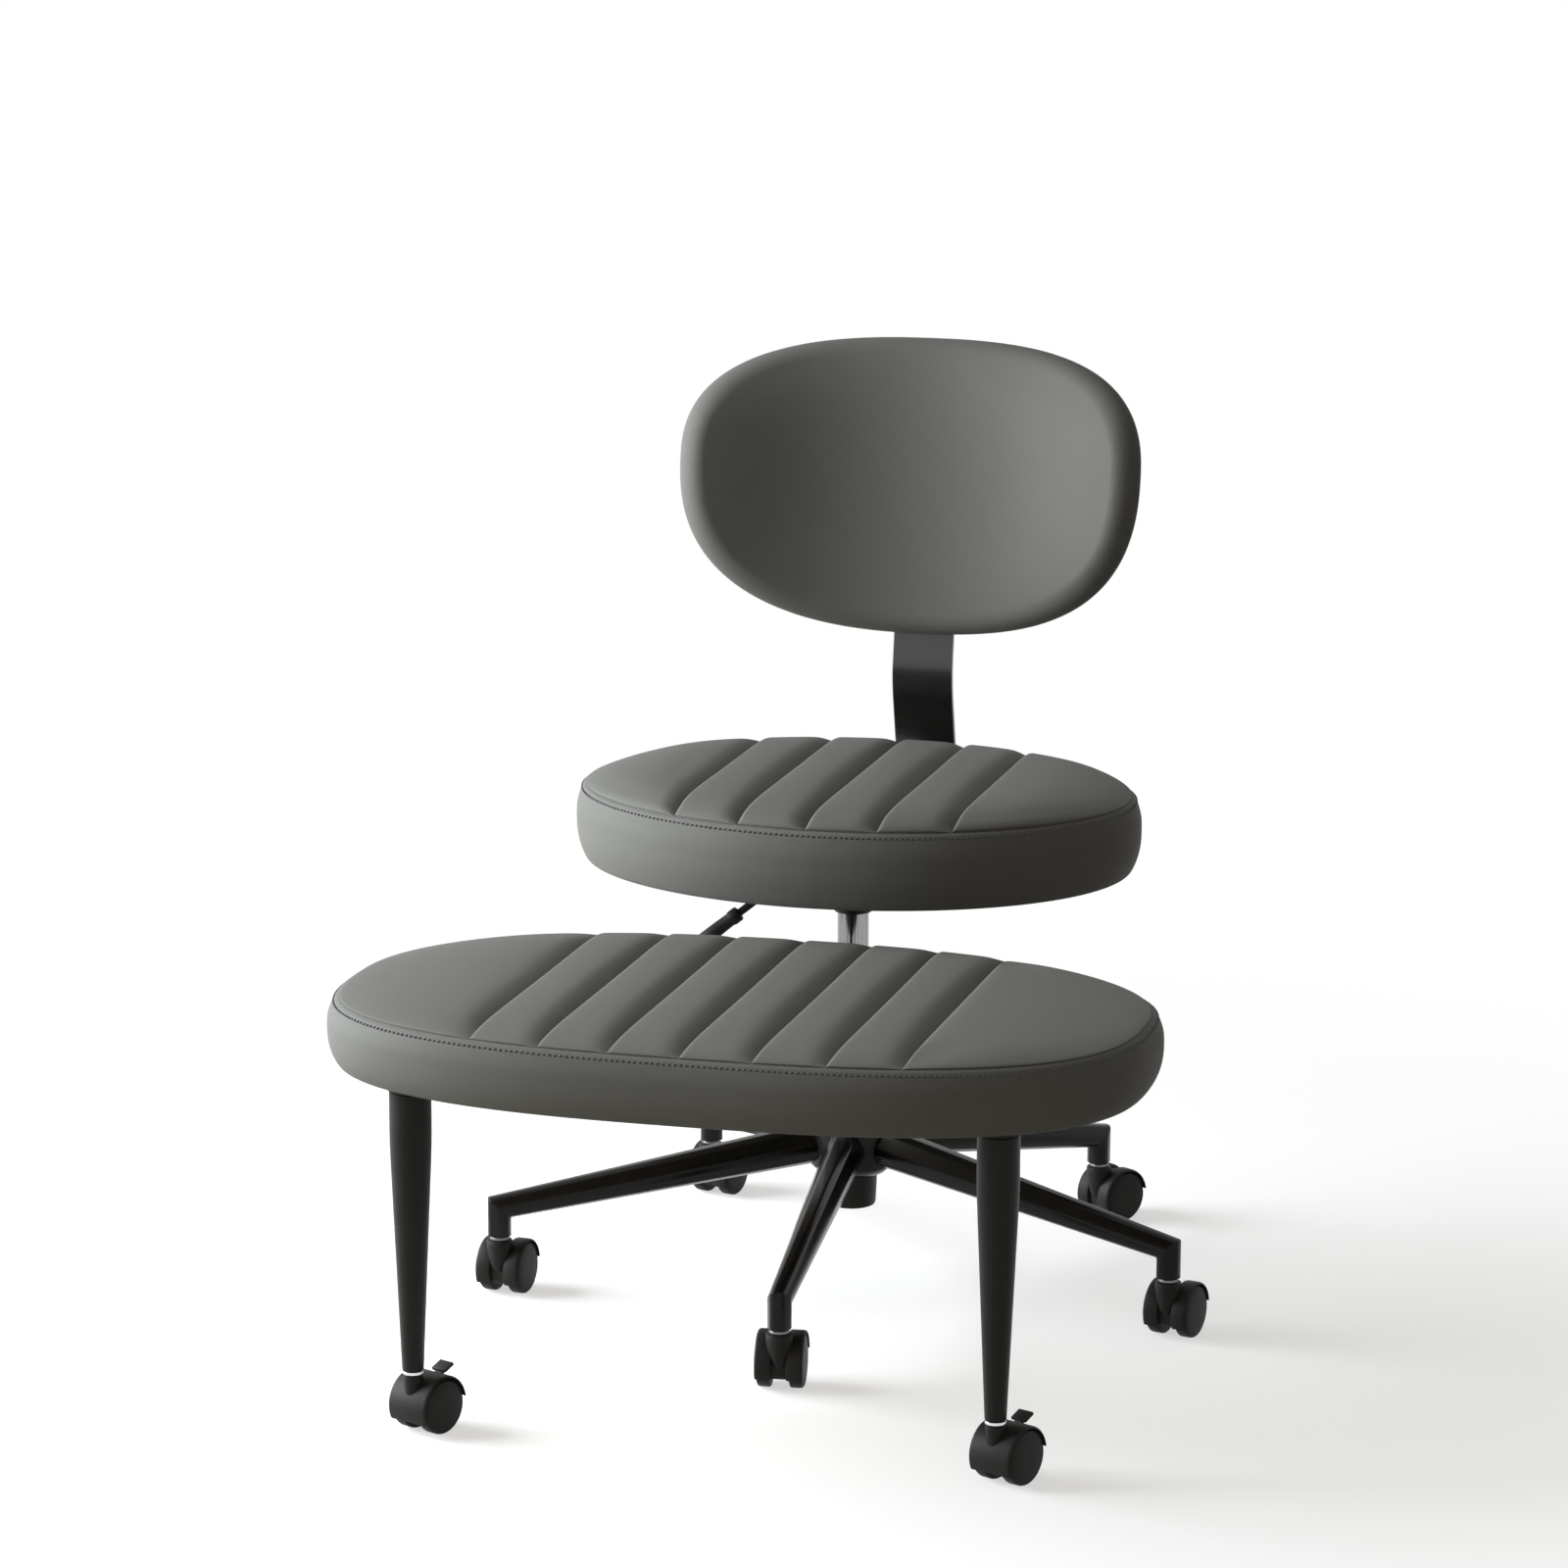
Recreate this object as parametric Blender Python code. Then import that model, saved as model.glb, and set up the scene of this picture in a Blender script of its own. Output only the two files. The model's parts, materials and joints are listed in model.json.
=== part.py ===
"""A swivel chair for sitting cross-legged, with a wide foot pad that swings about the same column.

Metres, +Z up, floor at zero. The sitter faces -Y. Until the last step the column's axis is x = y = 0.
"""

import math

import bmesh
import bpy
from mathutils import Matrix, Vector

# Clearances
GAP = 0.0003
RUNNING = 0.0006
BOARD_CLEARANCE = 0.0010

# Facets of round pieces
SIDES = 24
PIN_SIDES = 12
FAN = 9

# Casters
WHEEL_RADIUS = 0.0235
WHEEL_WIDTH = 0.0125
WHEEL_EDGE = 0.0025
WHEEL_DISH = 0.0008
WHEEL_FREEDOM = 0.0010
AXLE_RADIUS = 0.0038
AXLE_REACH = 0.0100
WEB_WIDTH = 0.0155
HOOD_WALL = 0.0020
HOOD_FRONT_ANGLE = 25.0
HOOD_REAR_ANGLE = 10.0
WEB_BOTTOM = 0.0115
TRAIL = 0.0175
CASTER_HEADROOM = 0.0095
STAR_BOSS_RADIUS = 0.0115
LEG_BOSS_RADIUS = 0.0088
COLLAR_RADIUS = 0.0088
COLLAR_HEIGHT = 0.0030
STEM_RADIUS = 0.0050
STEM_DOWN = 0.0190
STEM_UP = 0.0240

# Brake pedals
PEDAL_PIVOT_BACK = 0.0130
PEDAL_PIVOT_UP = 0.0186
PEDAL_PIN_RADIUS = 0.0016
PEDAL_ARM_WIDTH = 0.0080
PEDAL_TAB_WIDTH = 0.0145
PEDAL_TAB_LENGTH = 0.0120
PEDAL_TAB_THICKNESS = 0.0026
PEDAL_TAB_RISE = 22.0
PEDAL_SLOT_SIDE = 0.0006

# Star base
STAR_RADIUS = 0.3185
STAR_FIRST_ANGLE = -69.0
STAR_HEADINGS = (83.0, 97.0, 76.0, 56.0, 77.0)
ARM_ROOT_HEIGHT = 0.0310
ARM_ROOT_WIDTH = 0.0300
ARM_ROOT_UP = 0.0018
ARM_END_SIZE = 0.0207
ARM_SECTION = ((0.35, -1.0), (0.85, -0.72), (1.0, -0.30), (1.0, 0.10), (0.62, 0.82), (0.30, 1.0))
ELBOW_HEIGHT = 0.0263
ELBOW_SLANT = 0.0092
HUB_RADIUS = 0.0375
HUB_BOTTOM = 0.1095
HUB_HEIGHT = 0.0455
HUB_CHAMFER = 0.0070

# Column and gas lift
TUBE_RADIUS = 0.0250
TUBE_FOOT_RADIUS = 0.0220
TUBE_BELOW_HUB = 0.0320
TUBE_WALL = 0.0020
TUBE_FLOOR = 0.0050
BUSH_LENGTH = 0.0600
BUSH_FLANGE = 0.0040
CYLINDER_RADIUS = 0.0140
CYLINDER_TOP_RADIUS = 0.0130
CYLINDER_STANDING = 0.0400
ROD_RADIUS = 0.0050
ROD_LENGTH = 0.1850
WASHER_RADIUS = 0.0120
WASHER_HEIGHT = 0.0040
PIN_RADIUS = 0.0035
PIN_LENGTH = 0.0100
PIN_PROUD = 0.0040
PIN_TRAVEL = 0.0060

# Foot pad and what carries it
FOOT_WIDTH = 0.7000
FOOT_DEPTH = 0.4320
FOOT_FRONT_EXPONENT = 2.70
FOOT_REAR_EXPONENT = 2.35
FOOT_AHEAD = 0.3680
FOOT_UNDERSIDE = 0.3010
FOOT_SEAM_HEIGHT = 0.0525
FOOT_CROWN = 0.0125
FOOT_GROOVES = 7
FOOT_PITCH = 0.0600
SLEEVE_WALL = 0.0030
LINER_WALL = 0.0022
LINER_FLANGE_RADIUS = 0.0340
LINER_FLANGE = 0.0024
ARM_WIDTH = 0.0400
ARM_HEIGHT = 0.0250
ARM_LENGTH = 0.3300
ARM_PLATE_WIDTH = 0.1200
ARM_PLATE_LENGTH = 0.1600
ARM_PLATE = 0.0032
LEG_FROM_END = 0.1020
LEG_FROM_FRONT = 0.0760
LEG_TOP_RADIUS = 0.0175
LEG_FOOT_RADIUS = 0.0090
LEG_STRAIGHT = 0.0450
LEG_HEADING = 66.0
LEG_PLATE_RADIUS = 0.0185
LEG_PLATE = 0.0040
SPIGOT_RADIUS = 0.0110
SPIGOT_LENGTH = 0.0180

# Seat
SEAT_WIDTH = 0.5110
SEAT_DEPTH = 0.3950
SEAT_EXPONENT = 2.00
SEAT_BEHIND = 0.0145
SEAT_UNDERSIDE = 0.3930
SEAT_SEAM_HEIGHT = 0.0620
SEAT_CROWN = 0.0190
SEAT_GROOVES = 5
SEAT_PITCH = 0.0620

# Covers and boards of both pads
GROOVE_DEPTH = 0.0080
GROOVE_SHOULDER = 0.15
GROOVE_SHOULDER_SHARE = 0.30
SHOULDER_INSET = 0.0220
SEAM_INSET = 0.0050
HEM_INSET = 0.0085
BOARD_INSET = 0.0120
BOARD_THICKNESS = 0.0120

# Seat mechanism and lever
SEAT_PLATE_SIDE = 0.1600
SEAT_PLATE = 0.0030
BOX_LENGTH = 0.1200
BOX_WIDTH = 0.0800
BOX_HEIGHT = 0.0170
BOX_WALL = 0.0025
SOCKET_RADIUS = 0.0240
SOCKET_FOOT_RADIUS = 0.0172
SOCKET_LENGTH = 0.0230
LEVER_ASIDE = 14.0
LEVER_PIVOT = 0.0520
LEVER_SLOPE = 38.2
LEVER_RADIUS = 0.0035
LEVER_LENGTH = 0.1050
LEVER_PIN_RADIUS = 0.0020
LEVER_PIN_LENGTH = 0.0180
EAR_THICKNESS = 0.0025
GRIP_RADIUS = 0.0064
GRIP_COLLAR_RADIUS = 0.0074
GRIP_LENGTH = 0.0480
GRIP_END = 0.0060

# Back
BACK_HALF_ARC = 0.2335
BACK_ABOVE = 0.1200
BACK_BELOW = 0.1530
BACK_EXPONENT = 2.40
BACK_CURVE_RADIUS = 0.3270
BACK_LEAN = 9.7
BACK_Y = 0.2700
BACK_RISE = 0.3160
BACK_REAR = 0.0100
BACK_FRONT = 0.0300
BACK_BOARD = 0.0080
BACK_BOARD_INSET = 0.0160
BAR_WIDTH = 0.0570
BAR_THICKNESS = 0.0060
BAR_ABOVE = 0.0500
BAR_KNEE = 0.1950
BAR_LEAN = 15.0
BAR_BEND = 0.0350
BAR_PLATE_SPACE = 0.0040

# Heights and radii that follow
AXLE_HEIGHT = WHEEL_RADIUS * math.cos(math.pi / SIDES)
CASTER_HEIGHT = 2 * WHEEL_RADIUS + CASTER_HEADROOM
BOSS_TOP = CASTER_HEIGHT - COLLAR_HEIGHT - 2 * GAP
HOOD_INSIDE = WHEEL_RADIUS + WHEEL_FREEDOM
HOOD_OUTSIDE = HOOD_INSIDE + HOOD_WALL
WHEEL_START = WEB_WIDTH / 2 + RUNNING
STEM_BORE = STEM_RADIUS + RUNNING
HUB_TOP = HUB_BOTTOM + HUB_HEIGHT
TUBE_BOTTOM = HUB_BOTTOM - TUBE_BELOW_HUB
TUBE_BORE = TUBE_RADIUS - TUBE_WALL
ARM_TOP = FOOT_UNDERSIDE - GAP - ARM_PLATE
LEG_ASIDE = FOOT_WIDTH / 2 - LEG_FROM_END
LEG_AHEAD = FOOT_AHEAD + FOOT_DEPTH / 2 - LEG_FROM_FRONT
SLEEVE_BOTTOM = HUB_TOP + LINER_FLANGE + 2 * GAP
SLEEVE_BORE = TUBE_RADIUS + RUNNING + LINER_WALL + GAP
SLEEVE_RADIUS = SLEEVE_BORE + SLEEVE_WALL
TUBE_TOP = ARM_TOP + 0.003
PLATE_BOTTOM = SEAT_UNDERSIDE - GAP - SEAT_PLATE
BOX_TOP = PLATE_BOTTOM - GAP
BOX_BOTTOM = BOX_TOP - BOX_HEIGHT
SOCKET_TOP = BOX_BOTTOM - GAP
SOCKET_BOTTOM = SOCKET_TOP - SOCKET_LENGTH
CYLINDER_TOP = BOX_BOTTOM + BOX_WALL + 0.003
CYLINDER_BOTTOM = TUBE_BOTTOM + TUBE_FLOOR + CYLINDER_STANDING
PIN_TOP = CYLINDER_TOP + PIN_PROUD
LEVER_HEIGHT = PIN_TOP + GAP + LEVER_RADIUS
BACK_Z = SEAT_UNDERSIDE + BACK_RISE


def to_mesh(bm):
    """A mesh from this bmesh, with points that meet made one and all faces pointing out."""
    bmesh.ops.remove_doubles(bm, verts=bm.verts, dist=0.00001)
    bmesh.ops.recalc_face_normals(bm, faces=bm.faces)
    mesh = bpy.data.meshes.new("solid")
    bm.to_mesh(mesh)
    bm.free()
    return mesh


def turned(profile, sides=SIDES, hollow=False):
    """A solid turned about Z from (radius, height) pairs. A hollow one joins the last pair to the first."""
    bm = bmesh.new()
    start = Matrix.Rotation(math.pi / sides, 3, "Z")
    verts = [bm.verts.new(start @ Vector((radius, 0, height))) for radius, height in profile]
    ends = verts[1:] + verts[:1] if hollow else verts[1:]
    edges = [bm.edges.new(pair) for pair in zip(verts, ends)]
    bmesh.ops.spin(
        bm,
        geom=verts + edges,
        cent=(0, 0, 0),
        axis=(0, 0, 1),
        angle=2 * math.pi,
        steps=sides,
        use_merge=True,
    )
    return to_mesh(bm)


def slab(outline, low, high, axis="Z"):
    """A flat outline pushed from low to high along an axis: (x, y) pairs, (x, z) along Y or (y, z) along X."""
    spots = {
        "X": lambda u, v: Vector((low, u, v)),
        "Y": lambda u, v: Vector((u, low, v)),
        "Z": lambda u, v: Vector((u, v, low)),
    }
    way = {"X": (1, 0, 0), "Y": (0, 1, 0), "Z": (0, 0, 1)}[axis]
    bm = bmesh.new()
    face = bm.faces.new([bm.verts.new(spots[axis](u, v)) for u, v in outline])
    made = bmesh.ops.extrude_face_region(bm, geom=[face])["geom"]
    verts = [item for item in made if isinstance(item, bmesh.types.BMVert)]
    bmesh.ops.translate(bm, verts=verts, vec=Vector(way) * (high - low))
    return to_mesh(bm)


def lofted(loops, capped=False):
    """A skin over loops of as many points each. Loops at the ends are capped, or have closed up on themselves."""
    bm = bmesh.new()
    rings = [[bm.verts.new(point) for point in loop] for loop in loops]
    for lower, upper in zip(rings, rings[1:]):
        for i in range(len(lower)):
            j = (i + 1) % len(lower)
            bm.faces.new((lower[i], lower[j], upper[j]))
            bm.faces.new((lower[i], upper[j], upper[i]))
    if capped:
        bm.faces.new(rings[0])
        bm.faces.new(rings[-1])
    return to_mesh(bm)


def combined(mesh, joins=(), cuts=()):
    """The mesh with others joined to it, and then others cut from it."""
    body = bpy.data.objects.new("body", mesh)
    bpy.context.collection.objects.link(body)
    helpers = []
    for operation, others in (("UNION", joins), ("DIFFERENCE", cuts)):
        for other in others:
            helper = bpy.data.objects.new("helper", other)
            bpy.context.collection.objects.link(helper)
            helpers.append(helper)
            modifier = body.modifiers.new(operation, "BOOLEAN")
            modifier.operation = operation
            modifier.solver = "EXACT"
            modifier.object = helper
    graph = bpy.context.evaluated_depsgraph_get()
    result = bpy.data.meshes.new_from_object(body.evaluated_get(graph), depsgraph=graph)
    for obj in helpers + [body]:
        bpy.data.objects.remove(obj)
    return result


def moved(mesh, *steps):
    """The mesh after these matrices, the last one first."""
    for step in reversed(steps):
        mesh.transform(step)
    return mesh


def turn(degrees, axis):
    return Matrix.Rotation(math.radians(degrees), 4, axis)


def shift(x, y, z):
    return Matrix.Translation((x, y, z))


def cylinder(radius, low, high, sides=SIDES):
    return turned([(0, high), (radius, high), (radius, low), (0, low)], sides)


def block(x0, x1, y0, y1, z0, z1):
    return slab([(x0, y0), (x1, y0), (x1, y1), (x0, y1)], z0, z1)


def rounded(half_x, half_y, radius, steps=3):
    """A rectangle with round corners, as (x, y) pairs."""
    outline = []
    for quarter, (sx, sy) in enumerate(((1, 1), (-1, 1), (-1, -1), (1, -1))):
        for step in range(steps + 1):
            angle = math.radians(90 * (quarter + step / steps))
            x = sx * (half_x - radius) + radius * math.cos(angle)
            y = sy * (half_y - radius) + radius * math.sin(angle)
            outline.append((x, y))
    return outline


def filleted(points, radius, steps=5):
    """A path of pairs whose inner corners are rounded."""
    path = [Vector(points[0])]
    for before, corner, after in zip(points, points[1:], points[2:]):
        back = (Vector(before) - Vector(corner)).normalized()
        ahead = (Vector(after) - Vector(corner)).normalized()
        half = back.angle(ahead) / 2
        middle = Vector(corner) + (back + ahead).normalized() * radius / math.sin(half)
        first = Vector(corner) + back * radius / math.tan(half)
        last = Vector(corner) + ahead * radius / math.tan(half)
        for step in range(steps + 1):
            share = step / steps
            spot = (first.lerp(last, share) - middle).normalized()
            path.append(middle + spot * radius)
    return path + [Vector(points[-1])]


def mitres(path):
    """For each point of a path of pairs, the sideways vector that keeps a strip's thickness through its bends."""
    found = []
    for i, point in enumerate(path):
        steps = []
        if i:
            steps.append((point - path[i - 1]).normalized())
        if i + 1 < len(path):
            steps.append((path[i + 1] - point).normalized())
        sides = [Vector((-step.y, step.x)) for step in steps]
        middle = sum(sides, Vector((0, 0))).normalized()
        found.append(middle / middle.dot(sides[0]))
    return found


def strip(path, thickness):
    """The outline of a flat strip bent along a path of pairs."""
    sides = mitres(path)
    upper = [point + side * thickness / 2 for point, side in zip(path, sides)]
    lower = [point - side * thickness / 2 for point, side in zip(path, sides)]
    return upper + lower[::-1]


def piped(path, radius, sides):
    """A round bar along a path of (x, z) pairs."""
    loops = []
    for point, side in zip(path, mitres(path)):
        loop = []
        for i in range(sides):
            angle = 2 * math.pi * (i + 0.5) / sides
            spot = point + side * radius * math.sin(angle)
            loop.append((spot.x, radius * math.cos(angle), spot.y))
        loops.append(loop)
    return lofted(loops, capped=True)


def material(name, colour, roughness, metallic=0.0):
    made = bpy.data.materials.new(name)
    made.use_nodes = True
    shader = made.node_tree.nodes["Principled BSDF"]
    shader.inputs["Base Color"].default_value = (*colour, 1.0)
    shader.inputs["Roughness"].default_value = roughness
    shader.inputs["Metallic"].default_value = metallic
    return made


def frame(name, parent, location=(0, 0, 0), heading=0.0):
    """An empty that carries one body, on its joint's axis."""
    empty = bpy.data.objects.new(name, None)
    bpy.context.collection.objects.link(empty)
    empty.parent = parent
    empty.location = location
    empty.rotation_euler = (0, 0, math.radians(heading))
    return empty


def node(name, mesh, look, parent, heading=0.0):
    """One named solid, placed by its parent and a turn about the parent's Z."""
    if not mesh.materials:
        mesh.materials.append(look)
        mesh.shade_smooth()
        mesh.set_sharp_from_angle(angle=math.radians(40))
    obj = bpy.data.objects.new(name, mesh)
    bpy.context.collection.objects.link(obj)
    obj.parent = parent
    obj.rotation_euler = (0, 0, math.radians(heading))
    return obj


def marks_for(grooves, pitch):
    """(x, depth share) of the columns across a grooved cushion: grooves, their shoulders and the channels' tops."""
    first = -pitch * (grooves - 1) / 2
    shoulder = GROOVE_SHOULDER * pitch
    low = GROOVE_SHOULDER_SHARE
    marks = []
    for i in range(grooves):
        x = first + i * pitch
        marks += [(x - pitch / 2, 0.0), (x - shoulder, low), (x, 1.0), (x + shoulder, low)]
    return marks + [(-first + pitch / 2, 0.0)]


def outline_of(marks, half_width, before, behind, front_exponent, rear_exponent, inset, share=1.0):
    """A loop round an oval, drawn in by an inset and then towards its middle line.

    Each point is (x, y, depth share, end share), and the end share grows to one at the oval's two tips.
    """
    reach = half_width - inset
    end = marks[-1][0]
    tip = []
    for step in range(1, FAN + 1):
        part = 2 * step / (FAN + 1) - 1
        exponent = rear_exponent if part > 0 else front_exponent
        depth = (behind if part > 0 else before) - inset
        angle = math.acos((end / reach) ** (exponent / 2)) * part
        x = reach * math.cos(angle) ** (2 / exponent)
        y = math.copysign(depth * abs(math.sin(angle)) ** (2 / exponent), part)
        tip.append((end + (x - end) * share, y * share, 0.0, 1 - part * part))

    def side(depth, exponent):
        points = []
        for x, groove in marks:
            y = (1 - abs(x / reach) ** exponent) ** (1 / exponent)
            points.append((x, depth * y * share, groove, 0.0))
        return points

    front = side(inset - before, front_exponent)
    rear = side(behind - inset, rear_exponent)
    far = [(-x, y, groove, ends) for x, y, groove, ends in reversed(tip)]
    return front + tip + rear[::-1] + far


def padding(outline, levels, place):
    """A closed form over levels of (inset, share towards the rim, height, groove depth, drop at the tips)."""
    loops = []
    for inset, share, height, depth, drop in levels:
        loop = outline_of(*outline, inset, share)
        loops.append([place(x, y, height - depth * groove - drop * ends) for x, y, groove, ends in loop])
    return lofted(loops)


def cover_levels(seam, crown):
    """Levels of a seat or foot pad, from the middle of the board's recess out, up and over to the middle."""
    recess = BOARD_THICKNESS + GAP
    shoulder = SHOULDER_INSET
    return [
        (BOARD_INSET, 0.0, recess, 0, 0),
        (BOARD_INSET, 1.0, recess, 0, 0),
        (BOARD_INSET, 1.0, 0, 0, 0),
        (HEM_INSET, 1.0, 0, 0, 0),
        (0.0045, 1.0, 0.12 * seam, 0, 0),
        (0.0, 1.0, 0.52 * seam, 0, 0),
        (0.0015, 1.0, 0.86 * seam, 0, 0),
        (SEAM_INSET, 1.0, seam, 0, 0),
        (0.0095, 1.0, seam + 0.40 * crown, 0.25 * GROOVE_DEPTH, 0.26 * crown),
        (shoulder, 1.0, seam + 0.72 * crown, 0.8 * GROOVE_DEPTH, 0.42 * crown),
        (shoulder, 0.78, seam + 0.92 * crown, GROOVE_DEPTH, 0.34 * crown),
        (shoulder, 0.40, seam + 0.99 * crown, GROOVE_DEPTH, 0.12 * crown),
        (shoulder, 0.0, seam + crown, GROOVE_DEPTH, 0),
    ]


def back_point(along, up, forward):
    """A point of the leaning, curved back: along its arc, up its face and forward of its middle surface."""
    angle = along / BACK_CURVE_RADIUS
    lean = math.radians(BACK_LEAN)
    x = (BACK_CURVE_RADIUS - forward) * math.sin(angle)
    y = (BACK_CURVE_RADIUS - forward) * math.cos(angle) - BACK_CURVE_RADIUS
    return (
        x,
        BACK_Y + y * math.cos(lean) + up * math.sin(lean),
        BACK_Z - y * math.sin(lean) + up * math.cos(lean),
    )


def arm_loop(spots):
    """A star arm's creased section: spots turns its (side, up) pairs, each within one, into points."""
    left = [(-side, up) for side, up in reversed(ARM_SECTION)]
    return [spots(side, up) for side, up in list(ARM_SECTION) + left]


def stem_mesh():
    """A caster's stem with its collar, on the caster's swivel axis."""
    collar = BOSS_TOP + GAP
    top = collar + COLLAR_HEIGHT
    return turned(
        [
            (0, top + STEM_UP),
            (STEM_RADIUS, top + STEM_UP),
            (STEM_RADIUS, top),
            (COLLAR_RADIUS, top),
            (COLLAR_RADIUS, collar),
            (STEM_RADIUS, collar),
            (STEM_RADIUS, BOSS_TOP - STEM_DOWN),
            (0, BOSS_TOP - STEM_DOWN),
        ],
        PIN_SIDES,
    )


def wheel_mesh():
    """A wheel, its inner face at z = 0 and its dished outer face up."""
    bore = AXLE_RADIUS + RUNNING
    depth = AXLE_REACH + RUNNING
    return turned(
        [
            (0, WHEEL_WIDTH),
            (WHEEL_RADIUS - WHEEL_EDGE, WHEEL_WIDTH - WHEEL_DISH),
            (WHEEL_RADIUS, WHEEL_WIDTH - WHEEL_DISH - WHEEL_EDGE),
            (WHEEL_RADIUS, WHEEL_EDGE / 2),
            (WHEEL_RADIUS - WHEEL_EDGE / 2, 0),
            (bore, 0),
            (bore, depth),
            (0, depth),
        ]
    )


def hood_arc(radius):
    """(x, z) pairs round the axle from the hood's rear end over the top to its front end."""
    steps = 13
    first = HOOD_REAR_ANGLE
    last = 180 + HOOD_FRONT_ANGLE
    pairs = []
    for step in range(steps + 1):
        angle = math.radians(first + (last - first) * step / steps)
        pairs.append((TRAIL + radius * math.cos(angle), AXLE_HEIGHT + radius * math.sin(angle)))
    return pairs


def housing_mesh(boss_radius, braked):
    """A caster's hood, web, stem boss and axle in one moulding. The stem is at x = 0 and the axle behind it at +X."""
    half = WHEEL_START + WHEEL_WIDTH
    hood = slab(hood_arc(HOOD_OUTSIDE) + hood_arc(HOOD_INSIDE)[::-1], -half, half, "Y")
    arc = hood_arc(HOOD_INSIDE + HOOD_WALL / 2)
    low = [(TRAIL - 0.75 * WHEEL_RADIUS, WEB_BOTTOM), (TRAIL + 0.35 * WHEEL_RADIUS, WEB_BOTTOM)]
    web = slab(arc + low, -WEB_WIDTH / 2, WEB_WIDTH / 2, "Y")
    narrow = WEB_WIDTH / 2 - GAP
    boss = turned(
        [
            (0, BOSS_TOP),
            (boss_radius, BOSS_TOP),
            (boss_radius, BOSS_TOP - 0.005),
            (narrow, AXLE_HEIGHT + 0.75 * WHEEL_RADIUS),
            (narrow, AXLE_HEIGHT),
            (0, AXLE_HEIGHT - 0.3 * WHEEL_RADIUS),
        ]
    )
    axle = cylinder(AXLE_RADIUS, -WEB_WIDTH / 2 - AXLE_REACH, WEB_WIDTH / 2 + AXLE_REACH, PIN_SIDES)
    moved(axle, shift(TRAIL, 0, AXLE_HEIGHT), turn(90, "X"))
    bore = cylinder(STEM_BORE, BOSS_TOP - STEM_DOWN - RUNNING, BOSS_TOP + 0.01, PIN_SIDES)
    cuts = [bore]
    if braked:
        slot = PEDAL_ARM_WIDTH / 2 + PEDAL_SLOT_SIDE
        x = TRAIL + PEDAL_PIVOT_BACK
        z = AXLE_HEIGHT + PEDAL_PIVOT_UP
        cuts.append(block(x - 0.005, x + 0.0075, -slot, slot, z - 0.006, z + 0.02))
        hole = cylinder(PEDAL_PIN_RADIUS + RUNNING, -0.0068, 0.0068, PIN_SIDES)
        cuts.append(moved(hole, shift(x, 0, z), turn(90, "X")))
    return combined(hood, [web, boss, axle], cuts)


def pedal_mesh():
    """A brake pedal about its pivot: an arm in the hood's slot, two pins and a tab that rises to the rear."""
    rise = math.radians(PEDAL_TAB_RISE)
    ahead = Vector((math.cos(rise), math.sin(rise)))
    aside = Vector((-ahead.y, ahead.x)) * PEDAL_TAB_THICKNESS
    base = Vector((0.0012, 0.0050))
    tip = base + ahead * PEDAL_TAB_LENGTH
    tab = slab([base, tip, tip + aside, base + aside], -PEDAL_TAB_WIDTH / 2, PEDAL_TAB_WIDTH / 2, "Y")
    inner = base + ahead * 0.0006 + aside / 2
    outer = base + ahead * 0.0036 + aside / 2
    arm = [(-0.0026, 0.0006), (-0.0012, -0.0026), (0.0014, -0.0026), (0.0028, 0.0), outer, inner]
    stalk = slab(arm, -PEDAL_ARM_WIDTH / 2, PEDAL_ARM_WIDTH / 2, "Y")
    pin = moved(cylinder(PEDAL_PIN_RADIUS, -0.0062, 0.0062, 8), turn(90, "X"))
    return combined(stalk, [tab, pin])


def star_arm_mesh():
    """A star arm towards +X, saddled on the hub and turned down at its end over the caster's stem."""
    root = HUB_BOTTOM + HUB_HEIGHT / 2 + ARM_ROOT_UP
    half = ARM_END_SIZE / 2
    elbow = CASTER_HEIGHT + ELBOW_HEIGHT
    inner = 0.8 * HUB_RADIUS
    loops = [
        arm_loop(lambda s, u: (inner, s * ARM_ROOT_WIDTH / 2, root + u * ARM_ROOT_HEIGHT / 2)),
        arm_loop(lambda s, u: (STAR_RADIUS + u * half, s * half, elbow + u * ELBOW_SLANT)),
        arm_loop(lambda s, u: (STAR_RADIUS + u * half, s * half, CASTER_HEIGHT)),
    ]
    saddle = cylinder(HUB_RADIUS + GAP, HUB_BOTTOM - 0.05, HUB_TOP + 0.05, 2 * SIDES)
    depth = CASTER_HEIGHT + STEM_UP
    bore = cylinder(STEM_BORE, CASTER_HEIGHT - 0.01, depth, PIN_SIDES)
    return combined(lofted(loops, capped=True), cuts=[saddle, moved(bore, shift(STAR_RADIUS, 0, 0))])


def hub_mesh():
    foot = TUBE_FOOT_RADIUS + (TUBE_RADIUS - TUBE_FOOT_RADIUS) * TUBE_BELOW_HUB / (HUB_TOP - TUBE_BOTTOM)
    return turned(
        [
            (HUB_RADIUS - 0.002, HUB_TOP),
            (HUB_RADIUS, HUB_TOP - 0.002),
            (HUB_RADIUS, HUB_BOTTOM + HUB_CHAMFER),
            (HUB_RADIUS - HUB_CHAMFER, HUB_BOTTOM),
            (foot + GAP, HUB_BOTTOM),
            (TUBE_RADIUS + GAP, HUB_TOP),
        ],
        2 * SIDES,
        hollow=True,
    )


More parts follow.
